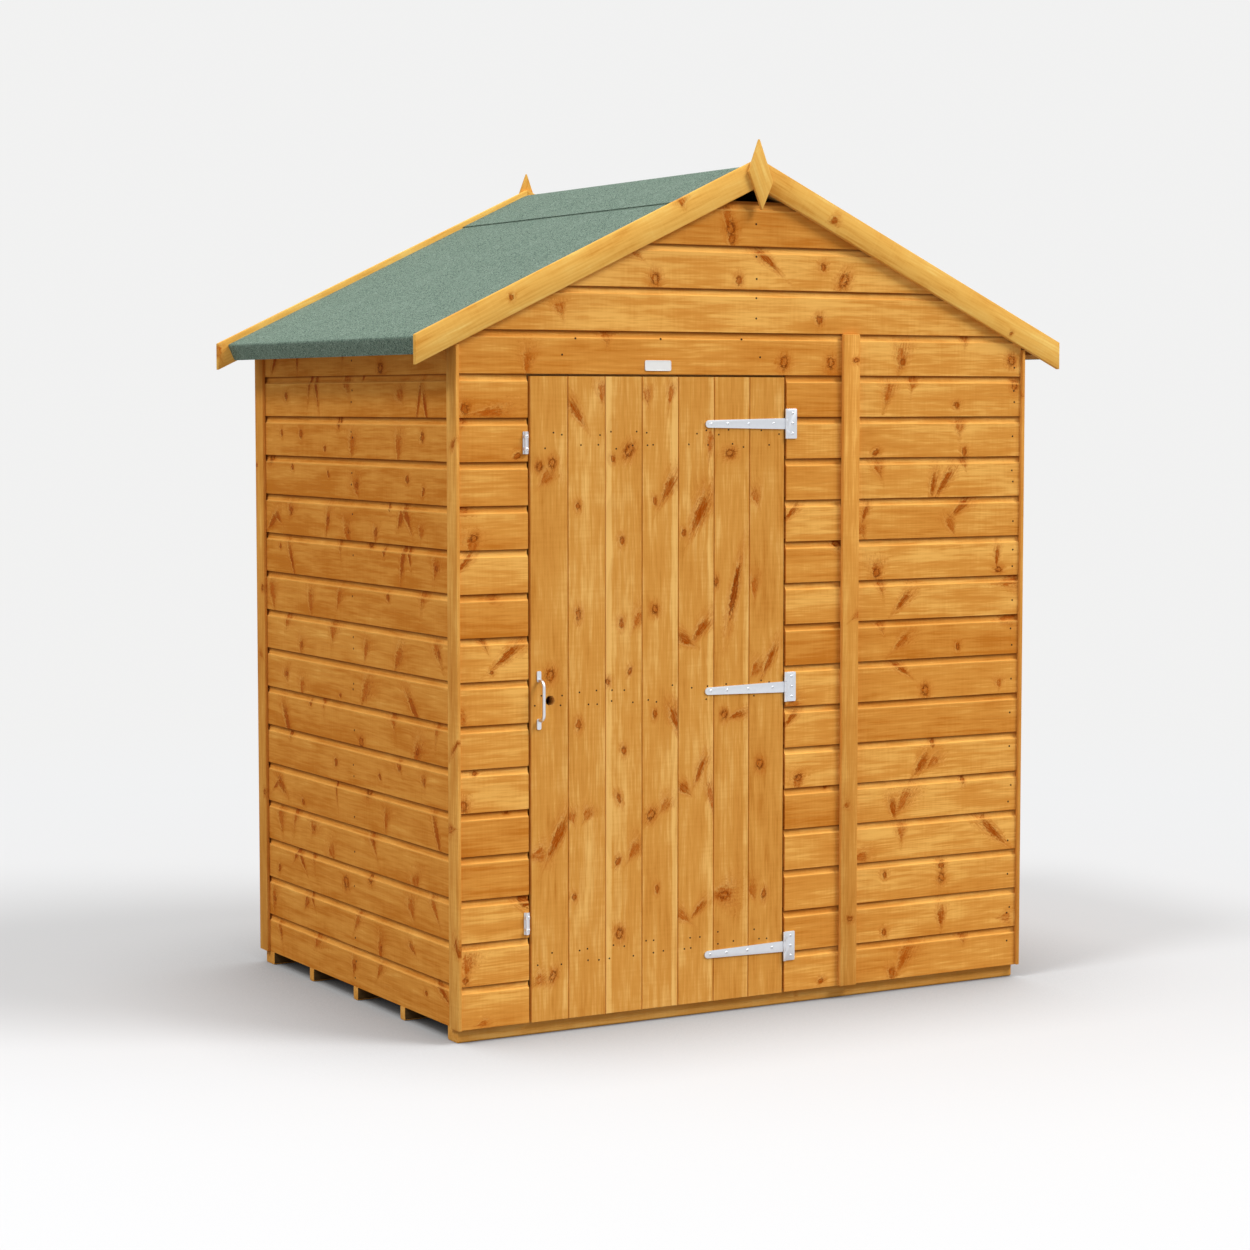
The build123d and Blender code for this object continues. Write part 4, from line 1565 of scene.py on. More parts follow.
@dataclass
class Cladding:
    """The shiplap on all four sides, laid board by board."""

    half_width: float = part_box("front_wall_right")[1].x
    half_depth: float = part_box("back_wall")[1].y
    side_half_run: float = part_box("left_wall")[1].y
    foot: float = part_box("front_wall_right")[0].z
    thick: float = 12 * MM
    cover: float = 114.3 * MM
    gable_cover: float = 117.0 * MM
    courses: int = 16
    gable_courses: int = 3
    gable_top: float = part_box("front_gable")[1].z
    gable_tones: Floats = (0.0, -0.1, 0.75)
    # the side walls' boards lean deeper in tone than the front's: painted shade of the shaded side
    shaded_side_tones: tuple[float, float] = (0.6, 1.2)
    deck_foot: float = 2302.9 * MM
    panel_joint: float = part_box("front_wall_right")[0].x
    doorway_left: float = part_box("front_wall_left")[1].x
    doorway_right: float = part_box("front_wall_middle")[0].x
    tongue: float = 8 * MM
    tongue_thick: float = 4.5 * MM
    cove: float = 20 * MM
    cove_steps: int = 8
    lip_ease: float = 0.8 * MM
    foot_ease: float = 0.6 * MM
    lap_gap: float = 0.4 * MM
    rebate_gap: float = 0.5 * MM
    end_gap: float = 0.6 * MM
    knot_gap: float = 0.21
    nail_inset: float = 26 * MM
    nail_stray: float = 5 * MM
    nail_shares: Floats = (0.22, 0.36, 0.50, 0.64)
    nail_counts: tuple[int, ...] = (1, 2)
    back_stud_share: float = -1 / 3  # of the half width
    joint_stud_share: float = 1.3  # of the panel joint's place
    loose_nails: tuple[tuple[int, int], ...] = (  # millimetres across and up
        (-560, 1845), (-300, 1846), (-45, 1848), (-600, 1802), (15, 1800),
        (2, 1905), (2, 1960), (3, 2012), (2, 2072), (1, 2160),
    )

    def section(self, cover: float) -> list[Point]:
        """Gives the shiplap section.

        Args:
            cover: the height that one board covers.

        Returns:
            The section's points.
        """
        lip = self.tongue_thick + self.lap_gap
        rebate = self.tongue + self.rebate_gap
        rows = [(rebate, 0.0), (rebate, lip), (self.foot_ease, lip), (0.0, lip + self.foot_ease)]
        rows += [(0.0, self.thick - self.lip_ease), (self.lip_ease, self.thick)]
        deep = self.thick - self.tongue_thick
        for index in range(self.cove_steps + 1):
            turn = QUARTER * (1.0 - index / self.cove_steps)
            rows.append((cover - self.cove * math.sin(turn), self.thick - deep * math.cos(turn)))
        return rows + [(cover + self.tongue, self.tongue_thick), (cover + self.tongue, 0.0)]

    def run(
        self,
        timber: Timber,
        start: Vector,
        along: Vector,
        length: float,
        course: int,
        cuts: Sequence[Cut] = (),
        marks: Sequence[Mark] = (),
        seen: tuple[float, float] | None = None,
        tones: tuple[float, float] = (0.0, 1.0),
    ) -> None:
        """Lays one wall board.

        Args:
            timber: the piece that takes the board.
            start: the foot of the wall's back face, where the run begins.
            along: the way the board runs.
            length: the run's length.
            course: the board's place up the wall, from 0.
            cuts: planes that the board is cut by.
            marks: the wall's listed knots, or none for scattered ones.
            seen: where the part that shows starts and ends, along the board.
            tones: how pale and how deep the wall's boards may be.
        """
        origin = start + Z * (course * self.cover) + along * self.end_gap
        board = Board(origin, along, Z, length - 2 * self.end_gap, self.section(self.cover), list(cuts))
        board.lot = Vector((timber.rng.uniform(*tones), timber.rng.random(), timber.rng.random()))
        shown = seen or (0.0, length)
        placed = [mark for mark in marks if mark.row == course + 1]
        board.knots = [mark.on_level(shown, self.cover, board.middle) for mark in placed]
        if not marks:
            width = self.cover + self.tongue
            board.knots = SCATTER.over(timber.rng, board.length, width, self.knot_gap)
        timber.add(board)

    def under_roof(self) -> list[Cut]:
        """Gives the planes under the two roof decks."""
        sine, cosine = math.sin(ROOF_PITCH), math.cos(ROOF_PITCH)
        return [(Z * self.deck_foot, Vector((side.value * sine, 0.0, cosine))) for side in Side]

    def front(self) -> None:
        """Lays the front: the panel with the doorway and the plain panel."""
        start = Vector((0.0, -self.half_depth + self.thick, self.foot))
        door_panel = Timber("door_panel_boards", 11)
        top = self.courses - 1
        header = (-self.half_width, self.panel_joint, HEADER_MARKS)
        left = (-self.half_width, self.doorway_left, DOOR_LEFT_MARKS)
        right = (self.doorway_right, self.panel_joint, DOOR_RIGHT_MARKS)
        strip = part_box("front_cover_strip")
        for course in range(self.courses):
            for low, high, marks in (left, right) if course < top else (header,):
                seen = (0.0, min(high, strip[0].x) - low)
                self.run(door_panel, start + X * low, X, high - low, course, marks=marks, seen=seen)
        nodes = ("front_wall_left", "front_wall_header", "front_wall_middle")
        door_panel.build(CLAD, Body.SHED, Slot.CLAD, *nodes)
        plain = Timber("plain_panel_boards", 12)
        for course in range(self.courses):
            width = self.half_width - self.panel_joint
            seen = (strip[1].x - self.panel_joint, width)
            self.run(plain, start + X * self.panel_joint, X, width, course, marks=PLAIN_MARKS, seen=seen)
        plain.build(CLAD, Body.SHED, Slot.CLAD, "front_wall_right")

    def back(self) -> None:
        """Lays the back in two panels."""
        start = Vector((0.0, self.half_depth - self.thick, self.foot))
        wall = Timber("back_wall_boards", 13)
        for course in range(self.courses):
            for high, low in ((self.half_width, self.panel_joint), (self.panel_joint, -self.half_width)):
                self.run(wall, start + X * high, -X, high - low, course)
        wall.build(CLAD, Body.SHED, Slot.CLAD, "back_wall")

    def gables(self) -> None:
        """Lays both gables, cut to the roof's slope and to the flat top."""
        top: Cut = (Z * self.gable_top, Z)
        foot = self.foot + self.courses * self.cover
        section = self.section(self.gable_cover)
        for name, along, seed in (("front_gable", X, 14), ("back_gable", -X, 15)):
            gable = Timber(f"{name}_boards", seed)
            out = along.cross(Z)
            for course in range(self.gable_courses):
                origin = out * (self.half_depth - self.thick) - along * self.half_width
                origin = origin + Z * (foot + course * self.gable_cover)
                cuts = [top, *self.under_roof()]
                board = Board(origin, along, Z, 2 * self.half_width, section, cuts)
                board.lot = Vector((self.gable_tones[course], gable.rng.random(), gable.rng.random()))
                for mark in GABLE_MARKS:
                    if mark.row == course + 1:
                        board.knots.append(mark.on_level((0.0, board.length), self.gable_cover, board.middle))
                gable.add(board)
            gable.build(CLAD, Body.SHED, Slot.CLAD, name)

    def sides(self) -> None:
        """Lays both side walls up to the roof."""
        for name, along, seed in (("left_wall", -Y, 16), ("right_wall", Y, 17)):
            wall = Timber(f"{name}_boards", seed)
            out = along.cross(Z)
            start = out * (self.half_width - self.thick) - along * self.side_half_run + Z * self.foot
            run, cuts = 2 * self.side_half_run, self.under_roof()
            for course in range(self.courses + 1):
                # deeper tones on the side walls: painted shade
                self.run(wall, start, along, run, course, cuts, tones=self.shaded_side_tones)
            wall.build(CLAD, Body.SHED, Slot.CLAD, name)

    def nails(self) -> None:
        """Sets the nails where the boards cross the studs."""
        rng = random.Random(31)
        back_studs = (self.half_width * self.back_stud_share, self.panel_joint * self.joint_stud_share)
        lines = {
            "front_nails": (-Y, (self.half_width - self.nail_inset,)),
            "left_nails": (-X, (-self.side_half_run + self.nail_inset, 0.0)),
            "right_nails": (X, (-self.side_half_run + self.nail_inset, 0.0)),
            "back_nails": (Y, (-self.half_width + self.nail_inset, *back_studs)),
        }
        for name, (out, places) in lines.items():
            nails = Nails(name)
            along = Z.cross(out)
            reach = self.half_width if out.x else self.half_depth
            for course in range(self.courses):
                for place in places:
                    for share in rng.sample(self.nail_shares, rng.choice(self.nail_counts)):
                        high = self.foot + (course + share) * self.cover
                        stray = place + rng.uniform(-self.nail_stray, self.nail_stray)
                        nails.add(out * reach + along * stray + Z * high, out)
            if name == "front_nails":
                for x, z in self.loose_nails:
                    nails.add(Vector((x * MM, -reach, z * MM)), out)
            nails.build(Body.SHED)

    def build(self) -> None:
        """Lays every side."""
        self.front()
        self.back()
        self.gables()
        self.sides()
        self.nails()


@dataclass
class DoorLeaf:
    """The ledged door of upright boards."""

    low: Vector = field(default_factory=lambda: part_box("door_boards")[0])
    high: Vector = field(default_factory=lambda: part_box("door_boards")[1])
    boards: int = 7
    vee: float = 2.6 * MM
    vee_share: float = 0.7
    joint: float = 0.5 * MM
    lock_inset: float = 58.5 * MM
    lock_height: float = 855 * MM
    lock_radius: float = 13.5 * MM
    lock_sides: int = 40
    plug_share: float = 3.0
    lots: tuple[tuple[float, float, float], ...] = (
        (0.72, 0.55, 0.20),
        (0.62, 0.30, 0.72),
        (0.52, 0.25, 0.70),
        (0.42, 0.35, 0.75),
        (0.38, 0.85, 0.98),
        (0.32, 0.65, 0.30),
        (0.66, 0.15, 0.62),
    )
    nail_levels: Floats = (190 * MM, 222 * MM, 878 * MM, 908 * MM, 1559 * MM, 1597 * MM)
    nail_radius: float = 2.6 * MM
    nail_stray: float = 7 * MM
    nail_shares: Floats = (0.16, 0.34, 0.56, 0.80)
    nail_counts: tuple[int, ...] = (1, 2, 2)
    nail_sway: float = 0.06

    def build(self) -> None:
        """Builds the boards, the lock hole, the ledges and the nails."""
        size = self.high - self.low
        width = size.x / self.boards
        section = eased_plank(width, self.joint / 2, size.y, self.vee, self.vee_share)
        leaf = Timber("door_leaf_boards", 21)
        for index in range(self.boards):
            origin = Vector((self.high.x - index * width, self.high.y, self.low.z))
            board = Board(origin, Z, -X, size.z, section, bow=0.0)
            board.lot = Vector(self.lots[index])
            row = self.boards - index
            board.knots = [mark.on_upright(board.length, width) for mark in DOOR_MARKS if mark.row == row]
            leaf.add(board)
        piece = leaf.build(LEAF, Body.DOOR, Slot.CLAD, "door_boards")
        self.bore(piece)
        dressed_solids("door_ledge_timber", ["door_ledges"], SAWN, Slot.FRAME, 22, Body.DOOR, X)
        self.nails(width)

    def nails(self, width: float) -> None:
        """Nails each board to the ledges, a little unevenly.

        Args:
            width: the width of one board.
        """
        rng = random.Random(23)
        nails = Nails("door_nails", self.nail_radius)
        for index in range(self.boards):
            for level in self.nail_levels:
                for share in rng.sample(self.nail_shares, rng.choice(self.nail_counts)):
                    sway = rng.uniform(-self.nail_sway, self.nail_sway)
                    place = self.low.x + (index + share + sway) * width
                    high = level + rng.uniform(-self.nail_stray, self.nail_stray)
                    nails.add(Vector((place, self.low.y, high)), -Y)
        nails.build(Body.DOOR)

    def bore(self, piece: bpy.types.Object) -> None:
        """Cuts the round lock hole.

        Args:
            piece: the door's boards.
        """
        plug = bmesh.new()
        turn = Matrix.Rotation(QUARTER, 4, "X")
        thick = self.high.y - self.low.y
        middle = (self.low.x + self.lock_inset, self.low.y + thick / 2, self.low.z + self.lock_height)
        spot = Matrix.Translation(middle)
        bmesh.ops.create_cone(
            plug,
            cap_ends=True,
            segments=self.lock_sides,
            radius1=self.lock_radius,
            radius2=self.lock_radius,
            depth=thick * self.plug_share,
            matrix=spot @ turn,
        )
        mesh = bpy.data.meshes.new("lock_plug")
        plug.to_mesh(mesh)
        plug.free()
        cutter = bpy.data.objects.new("lock_plug", mesh)
        bpy.context.collection.objects.link(cutter)
        hole = piece.modifiers.new("lock_hole", "BOOLEAN")
        hole.operation = "DIFFERENCE"
        hole.solver = "EXACT"
        hole.object = cutter
        graph = bpy.context.evaluated_depsgraph_get()
        cut = bpy.data.meshes.new_from_object(
            piece.evaluated_get(graph), preserve_all_data_layers=True, depsgraph=graph
        )
        piece.modifiers.clear()
        piece.data = cut
        bpy.data.objects.remove(cutter)


@dataclass
class Frame:
    """The floor, the studs, the rails and the rafters."""

    floor_boards: int = 16
    low: Vector = field(default_factory=lambda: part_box("floor_boards")[0])
    high: Vector = field(default_factory=lambda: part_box("floor_boards")[1])
    groove: float = 1.2 * MM
    joint: float = 0.2 * MM
    bearer_ease: float = 1.5 * MM
    outer_face: float = 12 * MM
    upright: float = 0.9

    def bearers(self) -> None:
        """Dresses the bearers, whose sides under the floor are painted dark as shade."""
        node, name = "floor_bearers", "floor_bearer_timber"
        piece = dressed_solids(name, [node], SKID, Slot.FRAME, 42, along=X, ease=self.bearer_ease)
        piece.data.materials.append(SHADED_BEARER_SIDE.material())
        low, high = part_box(node)
        # the upright faces under the floor take the dark finish: painted shade
        for face in piece.data.polygons:
            inside = low.y + self.outer_face < face.center.y < high.y - self.outer_face
            if inside and abs(face.normal.y) > self.upright:
                face.material_index = 1

    def floor(self) -> None:
        """Lays the floor boards across the bearers."""
        size = self.high - self.low
        width = size.x / self.floor_boards
        floor = Timber("floor_board_timber", 41)
        section = eased_plank(width, self.joint, size.z, self.groove)
        for index in range(self.floor_boards):
            origin = Vector((self.high.x - index * width, self.low.y, self.low.z))
            floor.add(Board(origin, Y, -X, size.y, section, bow=0.0))
        floor.build(SAWN, Body.SHED, Slot.FRAME, "floor_boards")

    def build(self) -> None:
        """Dresses the bearers, the floor and the framing."""
        self.bearers()
        self.floor()
        front, back = ("front_studs", "front_rails", "door_head"), ("back_studs", "back_rails")
        plain = (*front, *back, "side_studs", "side_rails")
        rafters = ("front_rafters", "back_rafters")
        for seed, node in enumerate(plain + rafters, start=43):
            along = X if node in rafters else None
            dressed_solids(f"{node}_timber", [node], SAWN, Slot.FRAME, seed, along=along)


@dataclass
class Roof:
    """The roof boards, the felt, the bargeboards and the finials."""

    half_run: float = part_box("left_roof_deck")[1].y
    deck_top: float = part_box("left_roof_deck")[1].z
    deck_thick: float = 11 * MM
    deck_joint: float = 0.2 * MM
    deck_ease: float = 1.4 * MM
    ridge_lap: float = 12 * MM
    slope: float = 1104 * MM
    boards: int = 10
    felt_thick: float = 3 * MM
    felt_slack: float = 1.4 * MM
    felt_fold: float = 50 * MM
    fold_radius: float = 6 * MM
    felt_rows: int = 56
    slope_steps: int = 30
    fold_steps: int = 6
    skirt_steps: int = 4
    cap_reach: float = 249.8 * MM
    cap_steps: int = 14
    cap_bend: float = 14 * MM
    cap_sink: float = 2.0 * MM
    ripple: float = 0.55 * MM
    ripple_scales: Floats = (3.1, 2.3)
    barge_ease: float = 2.2 * MM
    finial_ease: float = 0.7 * MM
    finial_knot_gap: float = 2.0
    finial_grain: Floats = (44.0, 0.0, -111.0)

    def down(self, side: Side) -> Vector:
        """Gives the way down the slope."""
        return Vector((side.value * math.cos(ROOF_PITCH), 0.0, -math.sin(ROOF_PITCH)))

    def up(self, side: Side) -> Vector:
        """Gives the way out of the slope."""
        return Vector((side.value * math.sin(ROOF_PITCH), 0.0, math.cos(ROOF_PITCH)))

    def decks(self) -> None:
        """Lays the roof boards on both slopes."""
        width, thick = self.slope / self.boards, self.deck_thick
        plank = eased_plank(width, self.deck_joint, thick, self.deck_ease)
        section = [(a, thick - o) for a, o in plank]
        first = [(a + (self.ridge_lap if a > width / 2 else 0.0), o) for a, o in section]
        for side, name, seed in ((Side.LEFT, "left_roof_deck", 51), (Side.RIGHT, "right_roof_deck", 52)):
            deck = Timber(f"{name}_boards", seed)
            along, down = Y * -side.value, self.down(side)
            for index in range(self.boards):
                origin = Z * self.deck_top - self.up(side) * thick
                origin = origin + down * (index * width) - along * self.half_run
                board = Board(origin, along, down, 2 * self.half_run, section, bow=0.0)
                if index == 0:
                    board.origin = origin - down * self.ridge_lap
                    board.section = first
                    board.cuts = [(Vector(), X * -side.value)]
                deck.add(board)
            deck.build(SAWN, Body.SHED, Slot.FRAME, name)

    def sheet(
        self, name: str, path: Sequence[Vector], ups: Sequence[Vector], seed: float, node: str
    ) -> None:
        """Lays one sheet of felt along a path, from gable to gable.

        Args:
            name: the piece's name.
            path: the sheet's upper face, from edge to edge.
            ups: the way out of the sheet at each point of the path.
            seed: where its ripple starts.
            node: the node that it replaces.
        """
        rows = self.felt_rows
        wide, deep = self.ripple_scales
        points, faces = [], []
        for index in range(rows + 1):
            along = -self.half_run + 2 * self.half_run * index / rows
            for place, up in zip(path, ups):
                spot = place + Y * along
                wave = noise.noise(Vector((spot.x * wide, spot.y * deep, seed))) - 1.0
                top = spot + up * (wave * self.ripple / 2)
                points.append(top)
                points.append(top - up * (self.felt_thick - self.ripple))
        size = 2 * len(path)
        for row in range(rows):
            low, high = row * size, (row + 1) * size
            for i in range(len(path) - 1):
                a, b = 2 * i, 2 * i + 2
                faces.append([low + a, low + b, high + b, high + a])
                faces.append([low + a + 1, high + a + 1, high + b + 1, low + b + 1])
            faces.append([low, high, high + 1, low + 1])
            last = size - 2
            faces.append([low + last, low + last + 1, high + last + 1, high + last])
        for base in (0, rows * size):
            for i in range(len(path) - 1):
                a, b = base + 2 * i, base + 2 * i + 2
                faces.append([a, a + 1, b + 1, b])
        piece = mesh_object(name, points, faces, angle=50.0)
        fit(piece, FELT, Body.SHED, [node])

    def felts(self) -> None:
        """Lays the felt on both slopes and the capping over the ridge."""
        rise = Z * (self.felt_thick / math.cos(ROOF_PITCH))
        ridge = Z * self.deck_top + rise
        steps = self.slope_steps
        reach = self.slope + self.felt_thick - self.fold_radius + self.felt_slack
        for side, name in ((Side.LEFT, "left_roof_felt"), (Side.RIGHT, "right_roof_felt")):
            down, up = self.down(side), self.up(side)
            path = [ridge + down * (reach * i / steps) for i in range(steps + 1)]
            ups = [up] * (steps + 1)
            centre = path[-1] - up * self.fold_radius
            for i in range(1, self.fold_steps + 1):
                turn = QUARTER * i / self.fold_steps
                out = up * math.cos(turn) + down * math.sin(turn)
                path.append(centre + out * self.fold_radius)
                ups.append(out)
            foot, skirt = path[-1], self.felt_fold - self.fold_radius
            for i in range(1, self.skirt_steps + 1):
                path.append(foot - up * (skirt * i / self.skirt_steps))
                ups.append(down)
            self.sheet(f"{name}_sheet", path, ups, 3.0 + side.value, name)
        path, ups = [], []
        for i in range(-self.cap_steps, self.cap_steps + 1):
            side = Side.LEFT if i < 0 else Side.RIGHT
            far = abs(i / self.cap_steps) * self.cap_reach
            lean = min(1.0, far / self.cap_bend)
            sink = Z * (self.cap_sink * (1.0 - lean) ** 2)
            path.append(ridge + rise + self.down(side) * far - sink)
            ups.append((self.up(side) * lean + Z * (1.0 - lean)).normalized())
        self.sheet("ridge_felt_cap", path, ups, 9.0, "ridge_felt")

    def build(self) -> None:
        """Builds the whole roof."""
        self.decks()
        self.felts()
        for node, seed in (("left_eaves_rail", 61), ("right_eaves_rail", 62)):
            dressed_solids(f"{node}_timber", [node], SAWN, Slot.FRAME, seed)
        seed = 63
        x, y, z = self.finial_grain
        for end, face in (("front", 1), ("back", -1)):
            for side in Side:
                node, down = f"{end}_{side.name.lower()}_bargeboard", self.down(side)
                name, ease = f"{node}_timber", self.barge_ease
                dressed_solids(name, [node], TRIM, Slot.TRIM, seed, along=down, ease=ease)
                seed += 1
            node, grain = f"{end}_finial", Vector((face * x, y, z)).normalized()
            name, ease, gap = f"{node}_timber", self.finial_ease, self.finial_knot_gap
            dressed_solids(name, [node], TRIM, Slot.TRIM, seed, along=grain, ease=ease, knot_gap=gap)
            seed += 1


@dataclass
class Edging:
    """The corner trims and the cover strips."""

    ease: float = 1.8 * MM
    strip_ease: float = 2.5 * MM

    def build(self) -> None:
        """Dresses each strip."""
        seed = 71
        for end in ("front", "back"):
            for side in ("left", "right"):
                node = f"{end}_{side}_trim"
                dressed_solids(f"{node}_timber", [node], STRIP, Slot.TRIM, seed, along=Z, ease=self.ease)
                seed += 1
            node = f"{end}_cover_strip"
            dressed_solids(f"{node}_timber", [node], STRIP, Slot.TRIM, seed, along=Z, ease=self.strip_ease)
            seed += 1


@dataclass
class Fittings:
    """The hinges, the handle, the keeps, their screws and the blank plate."""

    hinge_levels: Floats = (167 * MM, 893 * MM, 1619 * MM)
    strap_tip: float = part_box("hinge_straps")[0].x
    strap_screws: Floats = (18 * MM, 70 * MM, 138 * MM, 218 * MM)
    plate_edge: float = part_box("hinge_plates")[1].x
    plate_inset: float = 14 * MM
    plate_screws: Floats = (-28 * MM, 0.0, 28 * MM)
    leaf_front: float = -664 * MM
    keep_levels: Floats = (304 * MM, 1572 * MM)
    keep_screws: Floats = (-17 * MM, 17 * MM)
    screw_radius: float = 4.2 * MM
    screw_dome: float = 1.5 * MM
    screw_sides: int = 20
    screw_rings: tuple[Floats, ...] = ((1.0, 0.0), (0.98, 0.45), (0.75, 0.80), (0.42, 0.96))
    slot_lift: float = 0.97  # of the dome
    slot_size: Floats = (1.5 * MM, 0.35 * MM, 0.12 * MM)  # half length, half width, thickness
    tag_low: Floats = (-349 * MM, -661 * MM, 1761 * MM)
    tag_size: tuple[float, float] = (81 * MM, 28 * MM)
    tag_corner: float = 5 * MM
    tag_steps: int = 6
    tag_rim: tuple[Floats, ...] = (  # inset and lift
        (0.0, 0.0), (0.0, 1.6 * MM), (0.4 * MM, 2.0 * MM), (1.6 * MM, 2.0 * MM), (2.1 * MM, 1.5 * MM),
    )
    plate_ease: float = 0.6 * MM

    def metal(self, node: str, body: Body, ease: float) -> None:
        """Dresses a metal node.

        Args:
            node: the node's name.
            body: the body that it rides on.
            ease: the width of its eased edges.
        """
        grid = solid_copy(node, ease, sharp=50.0)
        grid.verts.index_update()
        points = [point.co.copy() for point in grid.verts]
        faces = [[point.index for point in face.verts] for face in grid.faces]
        grid.free()
        piece = mesh_object(f"{node}_zinc", points, faces, angle=40.0)
        fit(piece, ZINC, body, [node])

    def screws(self, name: str, body: Body, spots: Iterable[Vector]) -> None:
        """Makes domed screws with crossed slots, drawn as thin dark bars of painted shade.

        Args:
            name: the piece's name.
            body: the body that they ride on.
            spots: where each sits.
        """
        rng = random.Random(len(name))
        points, faces, dark = [], [], []
        rings, sides = self.screw_rings, self.screw_sides
        for spot in spots:
            start = len(points)
            for share, lift in rings:
                for i in range(sides):
                    turn = math.tau * i / sides
                    flat = X * math.cos(turn) + Z * math.sin(turn)
                    points.append(spot + flat * (self.screw_radius * share) - Y * (self.screw_dome * lift))
            faces += ring_faces(start, len(rings), sides)
            twist = rng.uniform(0.0, math.pi)
            for turn in (twist, twist + QUARTER):
                dark.append((spot - Y * (self.screw_dome * self.slot_lift), turn))
        piece = mesh_object(name, points, faces, angle=60.0)
        fit(piece, ZINC, body)
        # the slots are thin dark bars laid on the domes: painted shade
        points, faces = [], []
        long, wide, thick = self.slot_size
        for middle, turn in dark:
            first = X * math.cos(turn) + Z * math.sin(turn)
            second = first.cross(Y)
            start = len(points)
            for lift in (0.0, thick):
                for a, b in ((-1, -1), (1, -1), (1, 1), (-1, 1)):
                    points.append(middle + first * (a * long) + second * (b * wide) - Y * lift)
            faces += ring_faces(start, 2, 4)
        piece = mesh_object(f"{name}_slots", points, faces)
        fit(piece, SHADE, body)

    def tag(self) -> None:
        """Makes the small blank plate over the door, with a raised rim."""
        wide, high = self.tag_size
        middle = Vector(self.tag_low) + X * (wide / 2) + Z * (high / 2)
        points = []
        for inset, lift in self.tag_rim:
            contact_shade = self.tag_corner - inset
            for index, (sign_x, sign_z) in enumerate(((1, 1), (-1, 1), (-1, -1), (1, -1))):
                for step in range(self.tag_steps + 1):
                    turn = QUARTER * (index + step / self.tag_steps)
                    across = sign_x * (wide / 2 - self.tag_corner) + contact_shade * math.cos(turn)
                    rise = sign_z * (high / 2 - self.tag_corner) + contact_shade * math.sin(turn)
                    points.append(middle + X * across + Z * rise - Y * lift)
        faces = ring_faces(0, len(self.tag_rim), len(points) // len(self.tag_rim))
        piece = mesh_object("blank_plate", points, faces, angle=40.0)
        fit(piece, PLATE, Body.SHED)

    def build(self) -> None:
        """Dresses the fittings."""
        self.metal("hinge_straps", Body.DOOR, self.plate_ease)
        self.metal("hinge_plates", Body.SHED, self.plate_ease)
        self.metal("door_handle", Body.DOOR, 0.0)
        self.metal("door_keeps", Body.SHED, 0.0)
        front, hinges = self.leaf_front, self.hinge_levels
        reach = [self.strap_tip + place for place in self.strap_screws]
        straps = [Vector((x, front, z)) for z in hinges for x in reach]
        self.screws("strap_screws", Body.DOOR, straps)
        edge = self.plate_edge - self.plate_inset
        plates = [Vector((edge, front, z + lift)) for z in hinges for lift in self.plate_screws]
        self.screws("plate_screws", Body.SHED, plates)
        low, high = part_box("door_keeps")
        middle, levels = (low.x + high.x) / 2, self.keep_levels
        keeps = [Vector((middle, low.y, z + lift)) for z in levels for lift in self.keep_screws]
        self.screws("keep_screws", Body.SHED, keeps)
        self.tag()


